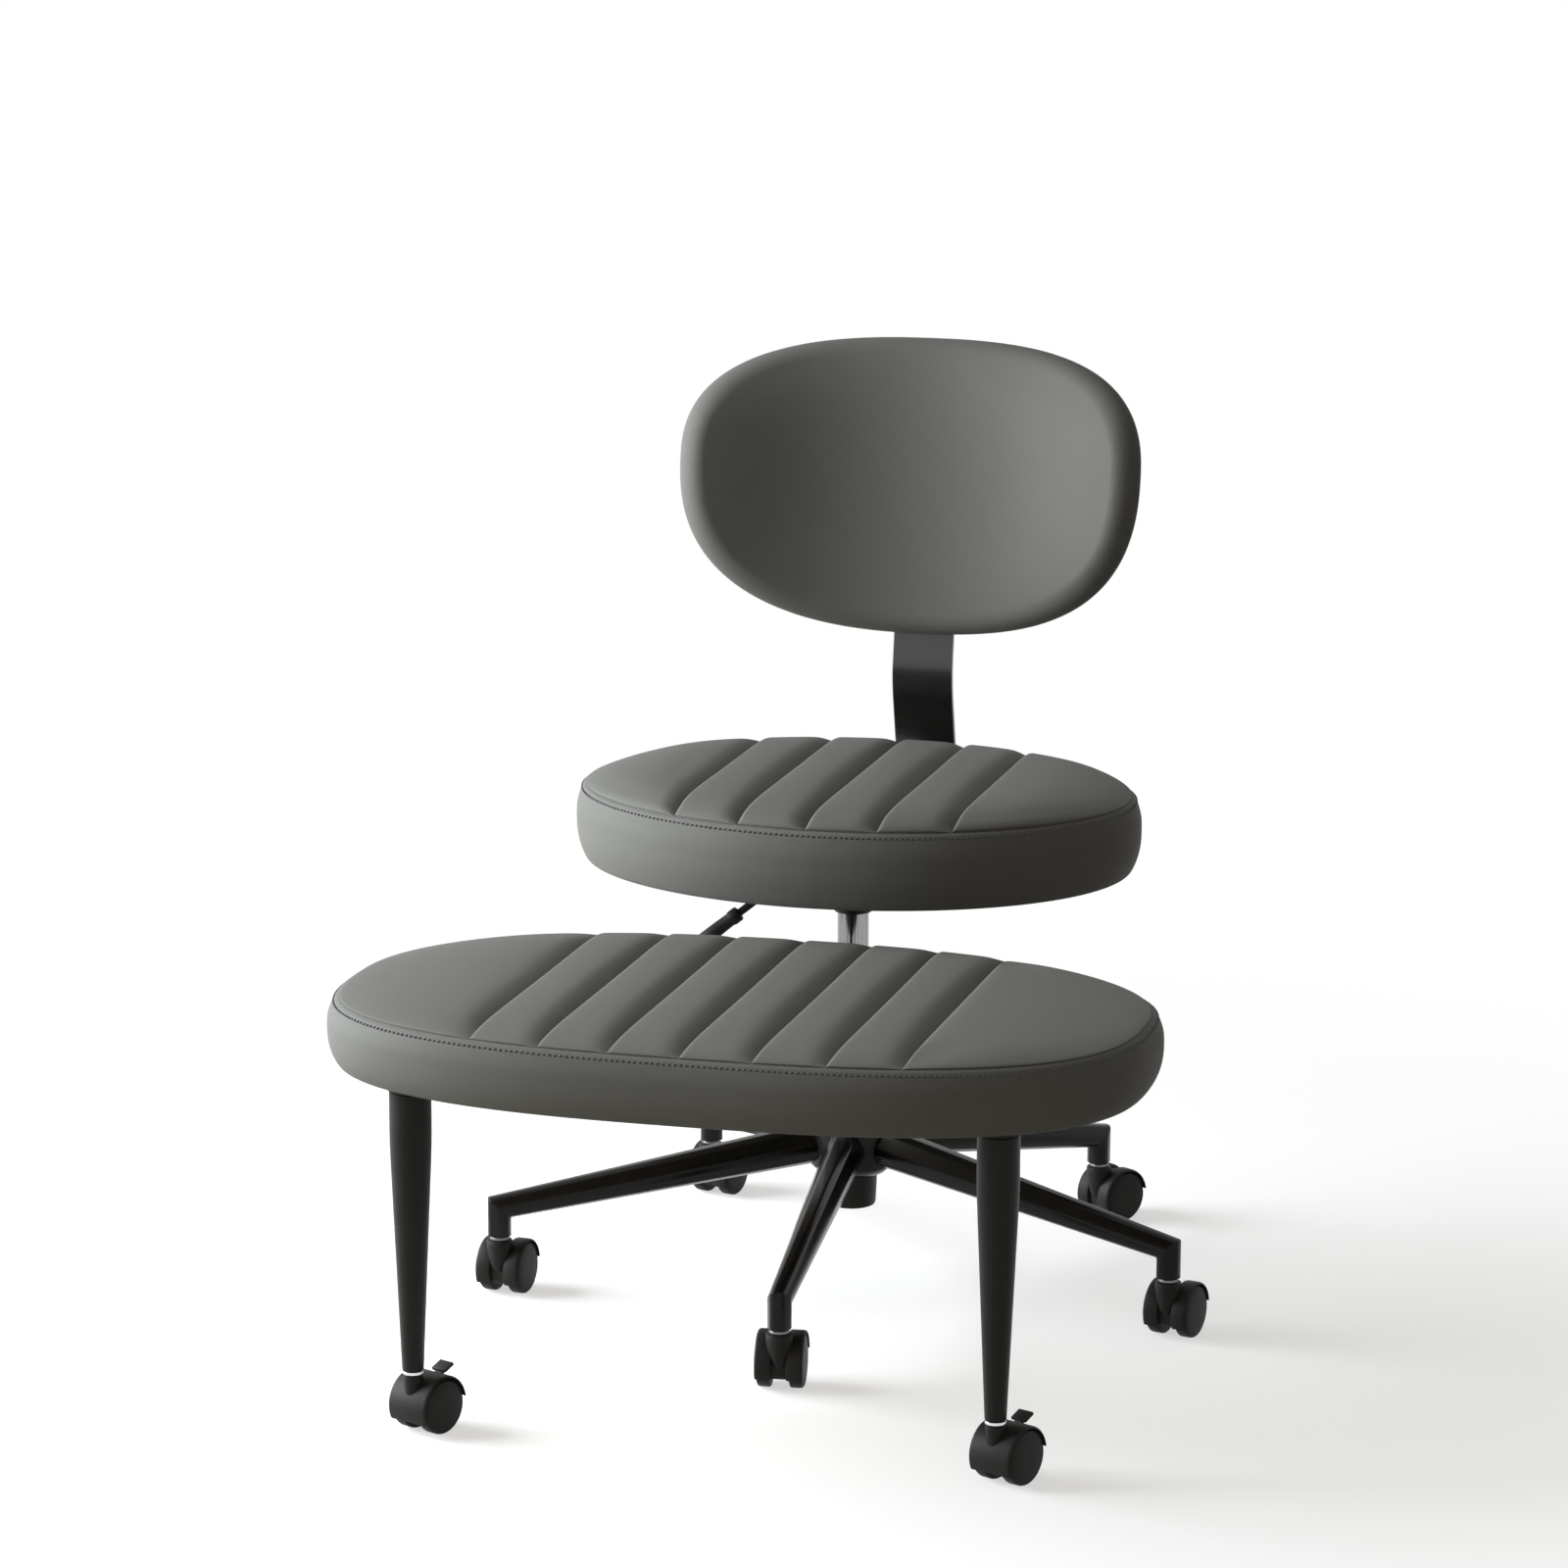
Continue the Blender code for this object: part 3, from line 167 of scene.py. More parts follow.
floor_look = bpy.data.materials.new("pale_floor")
floor_look.use_nodes = True
floor_look.node_tree.nodes.clear()
seen = seen_directly(floor_look.node_tree)
plain = seen.node("ShaderNodeBsdfDiffuse", {}, {"Color": FLOOR_COLOUR})
bounce = seen.node("ShaderNodeBsdfDiffuse", {}, {"Color": BOUNCE_COLOUR})
lift = seen.node("ShaderNodeEmission", {}, {"Color": WHITE, "Strength": FLOOR_LIFT})
lifted = seen.node("ShaderNodeAddShader", {}, {0: plain, 1: lift})
white = seen.node("ShaderNodeEmission", {}, {"Color": WHITE, "Strength": 1.0})
spot = Wire(floor_look.node_tree, floor_look.node_tree.nodes.new("ShaderNodeTexCoord").outputs["Object"])
away = spot.node("ShaderNodeVectorMath", {"operation": "LENGTH"}, {0: spot}, output=1)
fade = spot.node(
    "ShaderNodeMapRange",
    {"interpolation_type": "SMOOTHSTEP"},
    {"Value": away, "From Min": FLOOR_NEAR, "From Max": FLOOR_FAR},
)
faded = seen.node("ShaderNodeMixShader", {}, {0: fade, 1: lifted, 2: white})
mixed = seen.node("ShaderNodeMixShader", {}, {0: seen, 1: bounce, 2: faded})
mixed.to(floor_look.node_tree.nodes.new("ShaderNodeOutputMaterial"), "Surface")

bpy.ops.object.select_all(action="DESELECT")
bpy.ops.mesh.primitive_plane_add(size=FLOOR_SIZE)
floor = bpy.context.object
floor.name = "studio_floor"
floor.data.materials.append(floor_look)

for name, place, size, watts, tint in LAMPS:
    lamp = bpy.data.lights.new(name, "AREA")
    lamp.shape = "RECTANGLE"
    lamp.size, lamp.size_y = size
    lamp.energy = watts
    lamp.color = tint
    stand = bpy.data.objects.new(name, lamp)
    bpy.context.scene.collection.objects.link(stand)
    stand.location = place
    stand.rotation_euler = (LAMP_AIM - Vector(place)).to_track_quat("-Z", "Y").to_euler()


# The star's hub: a turned steel ring, chamfered below, that the five arms are welded to.
# Gloss black enamel over steel, so it mirrors a little and shows faint orange peel.
HUB_RADIUS = 0.0375
HUB_CHAMFER = 0.0070
HUB_BORE = 0.0240
ROUND_STEPS = 64
MERGE_DISTANCE = 0.00001
SHARP_ANGLE = math.radians(35.0)


def begin(name):
    """A new piece in edit mode: one selected point at the origin."""
    bpy.ops.object.select_all(action="DESELECT")
    bpy.ops.mesh.primitive_circle_add(vertices=3, radius=0.001)
    piece = bpy.context.object
    piece.name = name
    piece.data.name = name
    bpy.ops.object.mode_set(mode="EDIT")
    bpy.ops.mesh.select_all(action="SELECT")
    bpy.ops.mesh.merge(type="CENTER")
    return piece


def draw_line(points):
    """Moves the one selected point to the first of these and extrudes it through the others."""
    bpy.ops.transform.translate(value=points[0])
    for before, after in zip(points, points[1:]):
        step = Vector(after) - Vector(before)
        bpy.ops.mesh.extrude_vertices_move(TRANSFORM_OT_translate={"value": step})


def close_up():
    """Merges points that meet, turns faces out, leaves edit mode and shades all but sharp edges smooth."""
    bpy.ops.mesh.select_all(action="SELECT")
    bpy.ops.mesh.remove_doubles(threshold=MERGE_DISTANCE)
    bpy.ops.mesh.normals_make_consistent(inside=False)
    bpy.ops.object.mode_set(mode="OBJECT")
    bpy.ops.object.shade_smooth_by_angle(angle=SHARP_ANGLE)


def turned(name, profile, centre, axis=(0, 0, 1), steps=ROUND_STEPS):
    """A piece turned about an axis, from pairs of a radius and a place along it."""
    along = Vector(axis).normalized()
    outwards = along.orthogonal().normalized()
    piece = begin(name)
    draw_line([Vector(centre) + outwards * radius + along * height for radius, height in profile])
    bpy.ops.mesh.select_all(action="SELECT")
    bpy.ops.mesh.spin(steps=steps, angle=2 * math.pi, center=centre, axis=along)
    close_up()
    return piece


def fitted(piece, body, slot, look, *nodes):
    """Gives a finished piece its look, its body and the solids that it stands for. The slot is not used."""
    piece.data.materials.clear()
    piece.data.materials.append(look)
    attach(piece, body)
    if nodes:
        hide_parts(*nodes)
    return piece


def finish_named(name):
    """A new material, its main shader and the place on the piece that its patterns are laid out by."""
    look = bpy.data.materials.new(name)
    look.use_nodes = True
    tree = look.node_tree
    shader = tree.nodes["Principled BSDF"]
    return look, shader, Wire(tree, tree.nodes.new("ShaderNodeTexCoord").outputs["Object"])


def noise(place, scale, detail=2.0):
    return place.node("ShaderNodeTexNoise", {}, {"Vector": place, "Scale": scale, "Detail": detail})


def two_tones(share, first, second):
    """A colour between two, by a share from nothing to one."""
    return share.node(
        "ShaderNodeMix",
        {"data_type": "RGBA"},
        {0: share, 6: (*first, 1.0), 7: (*second, 1.0)},
        output=2,
    )


def bumped(height, shader, depth, strength):
    """Feeds a height, as a share of a depth in metres, to the shader's normal."""
    bump = height.node("ShaderNodeBump", {}, {"Height": height, "Distance": depth, "Strength": strength})
    bump.to(shader, "Normal")


def mottled(name, cloud, dark, light, roughness, grain, metallic=0.0, level=0.5):
    """A finish in two shades, smoother and rougher in places, with a fine grain.

    The cloud has a scale and a detail, the roughness a spread and a least value, and the grain a scale,
    a depth and a strength.
    """
    look, shader, place = finish_named(name)
    spread = noise(place, *cloud)
    two_tones(spread, dark, light).to(shader, "Base Color")
    (spread * roughness[0] + roughness[1]).to(shader, "Roughness")
    bumped(noise(place, grain[0]), shader, *grain[1:])
    shader.inputs["Metallic"].default_value = metallic
    shader.inputs["Specular IOR Level"].default_value = level
    return look


gloss_black = mottled(
    "gloss_black_enamel",
    (38.0, 3.0),
    (0.006, 0.006, 0.006),
    (0.011, 0.010, 0.009),
    (0.10, 0.13),
    (320.0, 0.00012, 0.35),
    level=0.16,
)

low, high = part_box("star_hub")
hub_bottom = low.z
hub_top = high.z
hub = turned(
    "hub_ring",
    [
        (HUB_BORE, hub_top),
        (HUB_RADIUS - 0.0022, hub_top),
        (HUB_RADIUS - 0.0006, hub_top - 0.0006),
        (HUB_RADIUS, hub_top - 0.0022),
        (HUB_RADIUS, hub_bottom + HUB_CHAMFER + 0.0008),
        (HUB_RADIUS - 0.0006, hub_bottom + HUB_CHAMFER - 0.0006),
        (HUB_RADIUS - HUB_CHAMFER + 0.0006, hub_bottom + 0.0006),
        (HUB_RADIUS - HUB_CHAMFER - 0.0008, hub_bottom),
        (HUB_BORE, hub_bottom),
        (HUB_BORE, hub_top),
    ],
    column,
)
fitted(hub, "base", "gloss_black_steel", gloss_black, "star_hub")


# The column tube: a drawn steel tube with a tapered foot that wedges in the hub, open at the top.
# Satin black powder coat, with the fine dry grain that such paint has.
TUBE_RADIUS = 0.0250
TUBE_FOOT_RADIUS = 0.0220
TUBE_BORE = 0.0230
TUBE_OPEN_DEPTH = 0.035

satin_black = mottled(
    "satin_black_coat",
    (55.0, 3.0),
    (0.0115, 0.011, 0.010),
    (0.018, 0.0172, 0.016),
    (0.10, 0.36),
    (1500.0, 0.00010, 0.45),
    level=0.13,
)

low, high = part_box("column_tube")
tube = turned(
    "column_outer_tube",
    [
        (0.0, high.z - TUBE_OPEN_DEPTH),
        (TUBE_BORE, high.z - TUBE_OPEN_DEPTH),
        (TUBE_BORE, high.z),
        (TUBE_RADIUS - 0.0005, high.z),
        (TUBE_RADIUS, high.z - 0.0006),
        (TUBE_RADIUS, hub_top),
        (TUBE_FOOT_RADIUS, low.z + 0.0032),
        (TUBE_FOOT_RADIUS - 0.0010, low.z + 0.0010),
        (TUBE_FOOT_RADIUS - 0.0032, low.z),
        (0.0070, low.z),
        (0.0060, low.z + 0.0008),
        (0.0, low.z + 0.0008),
    ],
    column,
)
fitted(tube, "base", "black_steel", satin_black, "column_tube")


# The guide bush: a pale plastic sleeve pressed in the tube's top, which the gas cylinder slides through.
# Plain moulded plastic, slightly mottled.
BUSH_BORE = 0.0146
BUSH_LENGTH = 0.03
BUSH_FLANGE = 0.0040

pale_plastic = mottled(
    "pale_bush_plastic",
    (90.0, 3.0),
    (0.60, 0.60, 0.57),
    (0.70, 0.70, 0.68),
    (0.12, 0.40),
    (700.0, 0.00008, 0.3),
)

low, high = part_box("guide_bush")
bush = turned(
    "column_guide_bush",
    [
        (BUSH_BORE, high.z - BUSH_LENGTH),
        (BUSH_BORE, high.z - 0.0008),
        (BUSH_BORE + 0.0008, high.z),
        (TUBE_RADIUS - 0.0030, high.z),
        (TUBE_RADIUS - 0.0012, high.z - 0.0008),
        (TUBE_RADIUS, high.z - 0.0022),
        (TUBE_RADIUS, high.z - BUSH_FLANGE),
        (TUBE_BORE - 0.0006, high.z - BUSH_FLANGE),
        (TUBE_BORE - 0.0006, high.z - BUSH_LENGTH),
        (BUSH_BORE, high.z - BUSH_LENGTH),
    ],
    column,
)
fitted(bush, "base", "pale_plastic", pale_plastic, "guide_bush")


# The star's five arms: pressed steel tubes with a crease along each side, welded to the hub.
# Each tapers outwards and is mitred to a short upright tube that takes a caster's stem.
ARM_ROOT_WIDTH = 0.0360
ARM_ROOT_HEIGHT = 0.0364
ARM_ROOT_MIDDLE = 0.1364
ARM_START = 0.0320
ARM_END_SIZE = 0.0207
ELBOW_MIDDLE = 0.0828
ELBOW_SLANT = 0.0092
ARM_FOOT = 0.0565
ARM_EDGE = 0.0011
ARM_SECTION = ((0.35, -1.0), (0.85, -0.72), (1.0, -0.30), (1.0, 0.10), (0.62, 0.82), (0.30, 1.0))


def chosen(piece):
    """Selects the piece alone and makes it the active one."""
    bpy.ops.object.select_all(action="DESELECT")
    piece.select_set(True)
    bpy.context.view_layer.objects.active = piece


def bevelled(piece, width, segments, angle):
    """Rounds the edges that turn by more than an angle in degrees."""
    chosen(piece)
    rounding = piece.modifiers.new("rounding", "BEVEL")
    rounding.width = width
    rounding.segments = segments
    rounding.limit_method = "ANGLE"
    rounding.angle_limit = math.radians(angle)
    bpy.ops.object.modifier_apply(modifier=rounding.name)
    bpy.ops.object.shade_smooth_by_angle(angle=math.radians(angle))
    return piece


def copied(piece, name, place):
    """A copy with its own mesh, put in place."""
    made = piece.copy()
    made.data = piece.data.copy()
    made.name = name
    made.data.name = name
    made.data.transform(place)
    bpy.context.collection.objects.link(made)
    return made


star_spots = [Vector(joints[f"star_caster_{n}_swivel_joint"]["pos_m"]) - column for n in range(1, 6)]
star_radius = Vector((star_spots[0].x, star_spots[0].y)).length

bpy.ops.object.select_all(action="DESELECT")
bpy.ops.mesh.primitive_circle_add(vertices=12, radius=0.01)
arm = bpy.context.object
arm.name = "star_arm_tube"
section = list(ARM_SECTION) + [(-side, up) for side, up in reversed(ARM_SECTION)]
for point, (side, up) in zip(arm.data.vertices, section):
    point.co = (ARM_START, side * ARM_ROOT_WIDTH / 2, ARM_ROOT_MIDDLE + up * ARM_ROOT_HEIGHT / 2)
bpy.ops.object.mode_set(mode="EDIT")
bpy.ops.mesh.select_all(action="SELECT")
bpy.ops.mesh.edge_face_add()
elbow = Vector((star_radius, 0, ELBOW_MIDDLE))
reach = elbow - Vector((ARM_START, 0, ARM_ROOT_MIDDLE))
bpy.ops.mesh.extrude_region_move(TRANSFORM_OT_translate={"value": reach})
half = ARM_END_SIZE / 2
mitre = math.hypot(half, ELBOW_SLANT)
narrowing = ARM_END_SIZE / ARM_ROOT_WIDTH
bpy.ops.transform.resize(value=(1, narrowing, 2 * mitre / ARM_ROOT_HEIGHT), center_override=elbow)
turn_over = -math.atan2(half, ELBOW_SLANT)
bpy.ops.transform.rotate(value=turn_over, orient_axis="Y", center_override=elbow)
bpy.ops.mesh.extrude_region_move(TRANSFORM_OT_translate={"value": (0, 0, ARM_FOOT - ELBOW_MIDDLE)})
foot_middle = Vector((star_radius, 0, ARM_FOOT))
bpy.ops.transform.resize(value=(1, 1, 0), center_override=foot_middle)
close_up()
bevelled(arm, ARM_EDGE, 3, 18.0)
for number, spot in enumerate(star_spots, 1):
    bearing = math.atan2(spot.y, spot.x)
    place = Matrix.Translation(column) @ Matrix.Rotation(bearing, 4, "Z")
    one = copied(arm, f"star_arm_{number}_tube", place)
    fitted(one, "base", "gloss_black_steel", gloss_black, f"star_arm_{number}")
bpy.data.objects.remove(arm)


# The casters' stems: plated steel pins with a collar, pressed up into the arms and legs.
# Only the collar shows, as a thin ring above each caster: bright on the legs, and darkened on the star by
# painted shade.
STEM_TOP = 0.0750
STEM_FOOT = 0.0340
STEM_RADIUS = 0.0050
COLLAR_TOP = 0.0562
COLLAR_FOOT = 0.0532
COLLAR_RADIUS = 0.0088

zinc_plate = mottled(
    "zinc_plate",
    (210.0, 4.0),
    (0.60, 0.61, 0.62),
    (0.78, 0.79, 0.80),
    (0.16, 0.16),
    (900.0, 0.00006, 0.3),
    metallic=1.0,
)
# The star's pins take a darker copy of the plating, as painted shade under the star.
zinc_painted_shade = mottled(
    "zinc_painted_shade",
    (180.0, 4.0),
    (0.13, 0.13, 0.128),
    (0.22, 0.22, 0.215),
    (0.18, 0.30),
    (900.0, 0.00006, 0.3),
    metallic=1.0,
)

stem = turned(
    "caster_stem",
    [
        (0.0, STEM_TOP),
        (STEM_RADIUS - 0.0006, STEM_TOP),
        (STEM_RADIUS, STEM_TOP - 0.0008),
        (STEM_RADIUS, COLLAR_TOP),
        (COLLAR_RADIUS - 0.0008, COLLAR_TOP),
        (COLLAR_RADIUS - 0.0002, COLLAR_TOP - 0.0003),
        (COLLAR_RADIUS, COLLAR_TOP - 0.0008),
        (COLLAR_RADIUS, COLLAR_FOOT + 0.0006),
        (COLLAR_RADIUS - 0.0006, COLLAR_FOOT),
        (STEM_RADIUS, COLLAR_FOOT),
        (STEM_RADIUS, STEM_FOOT),
        (0.0, STEM_FOOT),
    ],
    (0, 0, 0),
    steps=40,
)
for group, body, count, look in (("star", "base", 5, zinc_painted_shade), ("leg", "footrest", 2, zinc_plate)):
    for number in range(1, count + 1):
        spot = joints[f"{group}_caster_{number}_swivel_joint"]["pos_m"]
        one = copied(stem, f"{group}_stem_{number}_pin", Matrix.Translation((spot[0], spot[1], 0)))
        fitted(one, body, "zinc_steel", look, f"{group}_stem_{number}")
bpy.data.objects.remove(stem)


# The star's casters: twin wheels under two hood lobes, with a web between and a tapered stem boss ahead.
# One nylon moulding each, matte black with a fine spark-worn grain, and the same nylon for the wheels.
TRAIL = 0.0175
AXLE_HEIGHT = 0.0233
HOOD_INSIDE = 0.0245
HOOD_OUTSIDE = 0.0265
HOOD_HALF_WIDTH = 0.02085
HOOD_REAR = math.radians(10.0)
HOOD_SWEEP = math.radians(195.0)
LOBE_INNER = 0.0060
WEB_HALF_WIDTH = 0.00775
STAR_WEB_RADIUS = 0.0228
WEB_BOTTOM = 0.0115
BOSS_TOP = 0.0529
HOOD_STEPS = 36
WEB_STEPS = 24

nylon, shader, place = finish_named("black_nylon_moulding")
wear = noise(place, 70.0, 3.0)
two_tones(wear, (0.012, 0.0118, 0.0112), (0.020, 0.0195, 0.0185)).to(shader, "Base Color")
(wear * 0.12 + 0.46).to(shader, "Roughness")
grain = noise(place, 1300.0, 2.0) * 0.7 + noise(place, 420.0, 1.0) * 0.3
bumped(grain, shader, 0.00016, 0.45)
shader.inputs["Specular IOR Level"].default_value = 0.14

axle = Vector((TRAIL, 0, AXLE_HEIGHT))


def face_of(name, corners):
    """A new piece in edit mode: one selected face with these corners."""
    piece = begin(name)
    draw_line(corners)
    bpy.ops.mesh.select_all(action="SELECT")
    bpy.ops.mesh.edge_face_add()
    return piece


def hood_edge(side):
    """The hood's outer edge at one side, from its top round to its inside, as (aside, radius) pairs."""
    return [
        (side * (HOOD_HALF_WIDTH - 0.0028), HOOD_OUTSIDE),
        (side * (HOOD_HALF_WIDTH - 0.0014), HOOD_OUTSIDE - 0.0003),
        (side * (HOOD_HALF_WIDTH - 0.0005), HOOD_OUTSIDE - 0.0009),
        (side * HOOD_HALF_WIDTH, HOOD_OUTSIDE - 0.0019),
        (side * (HOOD_HALF_WIDTH - 0.0003), HOOD_INSIDE),
    ]


def hood_strip(name, section):
    """A closed section of (aside, radius) pairs swept over the wheels, from the rear to the front."""
    away = Vector((math.cos(HOOD_REAR), 0, math.sin(HOOD_REAR)))
    piece = face_of(name, [axle + away * radius + Vector((0, aside, 0)) for aside, radius in section])
    bpy.ops.mesh.spin(steps=HOOD_STEPS, angle=HOOD_SWEEP, center=axle, axis=(0, 1, 0))
    close_up()
    return piece


def wheel_web(name, radius):
    """The plate between the wheels, with a round top and a flat foot."""
    points = []
    for step in range(WEB_STEPS + 1):
        angle = HOOD_REAR + HOOD_SWEEP * step / WEB_STEPS
        points.append(axle + Vector((math.cos(angle), 0, math.sin(angle))) * radius)
    points.append(Vector((TRAIL - 0.75 * HOOD_INSIDE, 0, WEB_BOTTOM)))
    points.append(Vector((TRAIL + 0.35 * HOOD_INSIDE, 0, WEB_BOTTOM)))
    piece = face_of(name, [point - Vector((0, WEB_HALF_WIDTH, 0)) for point in points])
    bpy.ops.mesh.extrude_region_move(TRANSFORM_OT_translate={"value": (0, 2 * WEB_HALF_WIDTH, 0)})
    close_up()
    return bevelled(piece, 0.0008, 2, 40.0)


def joined(pieces, name):
    """Several shells as one piece."""
    bpy.ops.object.select_all(action="DESELECT")
    for piece in pieces:
        piece.select_set(True)
    bpy.context.view_layer.objects.active = pieces[0]
    bpy.ops.object.join()
    pieces[0].name = name
    pieces[0].data.name = name
    return pieces[0]


def caster_place(name):
    """Where a caster modelled with its stem at the origin and its wheels towards +X goes."""
    spot = joints[name + "_swivel_joint"]["pos_m"]
    roll = joints[name + "_wheel_a_roll"]["axis"]
    heading = math.atan2(-roll[0], roll[1])
    return Matrix.Translation((spot[0], spot[1], 0)) @ Matrix.Rotation(heading, 4, "Z")


lobes = []
for side in (-1, 1):
    lobes.append(hood_strip(
        "hood_lobe",
        [
            (side * LOBE_INNER, HOOD_INSIDE - 0.0016),
            (side * (LOBE_INNER + 0.0002), HOOD_OUTSIDE - 0.0016),
            (side * (LOBE_INNER + 0.0009), HOOD_OUTSIDE - 0.0005),
            (side * (LOBE_INNER + 0.0022), HOOD_OUTSIDE),
            *hood_edge(side),
            (side * (WEB_HALF_WIDTH + 0.0004), HOOD_INSIDE),
            (side * (WEB_HALF_WIDTH + 0.0004), HOOD_INSIDE - 0.0016),
        ],
    ))
star_boss = turned(
    "stem_boss",
    [
        (0.0, BOSS_TOP - 0.004),
        (0.0052, BOSS_TOP - 0.004),
        (0.0052, BOSS_TOP),
        (0.0107, BOSS_TOP),
        (0.0113, BOSS_TOP - 0.0003),
        (0.0116, BOSS_TOP - 0.0010),
        (0.0116, BOSS_TOP - 0.0065),
        (0.0090, 0.0310),
        (0.0078, 0.0265),
        (0.0058, 0.0228),
        (0.0030, 0.0208),
        (0.0, 0.0202),
    ],
    (0, 0, 0),
    steps=48,
)
star_web = wheel_web("wheel_web", STAR_WEB_RADIUS)
star_housing = joined([*lobes, star_web, star_boss], "star_caster_moulding")
for number in range(1, 6):
    name = f"star_caster_{number}"
    one = copied(star_housing, name + "_moulding", caster_place(name))
    fitted(one, name, "black_nylon", nylon, name + "_housing")
bpy.data.objects.remove(star_housing)


# The wheels: solid nylon discs that turn on the web's axle, two to a caster.
# Each has a rounded tread, a raised rim line and a shallow domed face.
WHEEL_RADIUS = 0.0233
WHEEL_WIDTH = 0.0125
WHEEL_START = 0.00835

wheel = turned(
    "caster_wheel",
    [
        (0.0, WHEEL_START),
        (WHEEL_RADIUS - 0.0014, WHEEL_START),
        (WHEEL_RADIUS - 0.0004, WHEEL_START + 0.0004),
        (WHEEL_RADIUS, WHEEL_START + 0.0014),
        (WHEEL_RADIUS, WHEEL_START + 0.0092),
        (WHEEL_RADIUS - 0.0003, WHEEL_START + 0.0103),
        (WHEEL_RADIUS - 0.0011, WHEEL_START + 0.0112),
        (WHEEL_RADIUS - 0.0020, WHEEL_START + 0.0116),
        (WHEEL_RADIUS - 0.0025, WHEEL_START + 0.0112),
        (WHEEL_RADIUS - 0.0031, WHEEL_START + 0.0114),
        (WHEEL_RADIUS - 0.0060, WHEEL_START + 0.0120),
        (WHEEL_RADIUS - 0.0130, WHEEL_START + 0.0124),
        (0.0030, WHEEL_START + WHEEL_WIDTH),
        (0.0, WHEEL_START + WHEEL_WIDTH),
    ],
    axle,
    axis=(0, 1, 0),
    steps=56,
)
turned_about = Matrix.Translation(axle) @ Matrix.Rotation(math.pi, 4, "Z") @ Matrix.Translation(-axle)
for group, count in (("star", 5), ("leg", 2)):
    for number in range(1, count + 1):
        name = f"{group}_caster_{number}"
        for letter, own_turn in (("a", Matrix.Identity(4)), ("b", turned_about)):
            one = copied(wheel, f"{name}_tread_{letter}", caster_place(name) @ own_turn)
            fitted(one, f"{name}_wheel_{letter}", "black_nylon", nylon, f"{name}_wheel_{letter}")
bpy.data.objects.remove(wheel)


# The sleeve that turns on the column and carries the foot pad, with the plastic liner it runs on.
# Steel tube in the satin black coat; the liner's flange shows as a pale ring on the hub.
SLEEVE_RADIUS = 0.0311
SLEEVE_BORE = 0.0281
LINER_RADIUS = 0.0278
LINER_BORE = 0.0256
LINER_FLANGE_RADIUS = 0.0340
LINER_FLANGE = 0.0024

low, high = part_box("foot_sleeve")
sleeve = turned(
    "foot_pad_sleeve",
    [
        (SLEEVE_BORE, high.z),
        (SLEEVE_RADIUS - 0.0006, high.z),
        (SLEEVE_RADIUS, high.z - 0.0006),
        (SLEEVE_RADIUS, low.z + 0.0006),
        (SLEEVE_RADIUS - 0.0006, low.z),
        (SLEEVE_BORE, low.z),
        (SLEEVE_BORE, high.z),
    ],
    column,
)
fitted(sleeve, "footrest", "black_steel", satin_black, "foot_sleeve")
low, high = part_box("sleeve_liner")
liner = turned(
    "foot_sleeve_liner",
    [
        (LINER_BORE, high.z),
        (LINER_RADIUS, high.z),
        (LINER_RADIUS, low.z + LINER_FLANGE),
        (LINER_FLANGE_RADIUS - 0.0005, low.z + LINER_FLANGE),
        (LINER_FLANGE_RADIUS, low.z + LINER_FLANGE - 0.0005),
        (LINER_FLANGE_RADIUS, low.z + 0.0004),
        (LINER_FLANGE_RADIUS - 0.0004, low.z),
        (LINER_BORE, low.z),
        (LINER_BORE, high.z),
    ],
    column,
)
fitted(liner, "footrest", "pale_plastic", pale_plastic, "sleeve_liner")


# The arm from the sleeve to the foot pad's board: a steel bar welded to a plate with four bolts.
# It runs from behind the pad to well under it, in the same satin black.
BOLT_HEAD_RADIUS = 0.0056
BOLT_HEAD_HEIGHT = 0.0034
BOLT_KEY_RADIUS = 0.0028
BOLT_KEY_DEPTH = 0.0018
WELD_EDGE = 0.0010
FLAT_WITHIN = math.radians(2.0)
ARM_PLATE = 0.0032
ARM_PLATE_HALF_LENGTH = 0.0800
ARM_PLATE_BOLTS = ((-0.046, 0.066), (0.046, 0.066), (-0.046, -0.066), (0.046, -0.066))


def softened(node, name, width):
    """A copy of a solid whose loose triangles are merged and whose edges are rounded."""
    piece = frame["nodes"][node].copy()
    piece.data = frame["nodes"][node].data.copy()
    for key in list(piece.keys()):
        del piece[key]
    piece.parent = None
    piece.name = name
    piece.data.name = name
    bpy.context.collection.objects.link(piece)
    chosen(piece)
    bpy.ops.object.mode_set(mode="EDIT")
    bpy.ops.mesh.select_all(action="SELECT")
    bpy.ops.mesh.remove_doubles(threshold=MERGE_DISTANCE)
    bpy.ops.mesh.dissolve_limited(angle_limit=FLAT_WITHIN)
    bpy.ops.object.mode_set(mode="OBJECT")
    return bevelled(piece, width, 2, 32.0)


foot_arm = softened("foot_arm", "foot_pad_arm", WELD_EDGE)
fitted(foot_arm, "footrest", "black_steel", satin_black, "foot_arm")

bolt = turned(
    "plate_bolt",
    [
        (0.0, -BOLT_HEAD_HEIGHT + BOLT_KEY_DEPTH),
        (BOLT_KEY_RADIUS, -BOLT_HEAD_HEIGHT + BOLT_KEY_DEPTH),
        (BOLT_KEY_RADIUS, -BOLT_HEAD_HEIGHT + 0.0003),
        (BOLT_KEY_RADIUS + 0.0004, -BOLT_HEAD_HEIGHT),
        (BOLT_HEAD_RADIUS - 0.0018, -BOLT_HEAD_HEIGHT + 0.0004),
        (BOLT_HEAD_RADIUS - 0.0006, -BOLT_HEAD_HEIGHT + 0.0014),
        (BOLT_HEAD_RADIUS, 0.0),
        (0.0, 0.0),
    ],
    (0, 0, 0),
    steps=24,
)
bolt.hide_render = True
low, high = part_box("foot_arm")
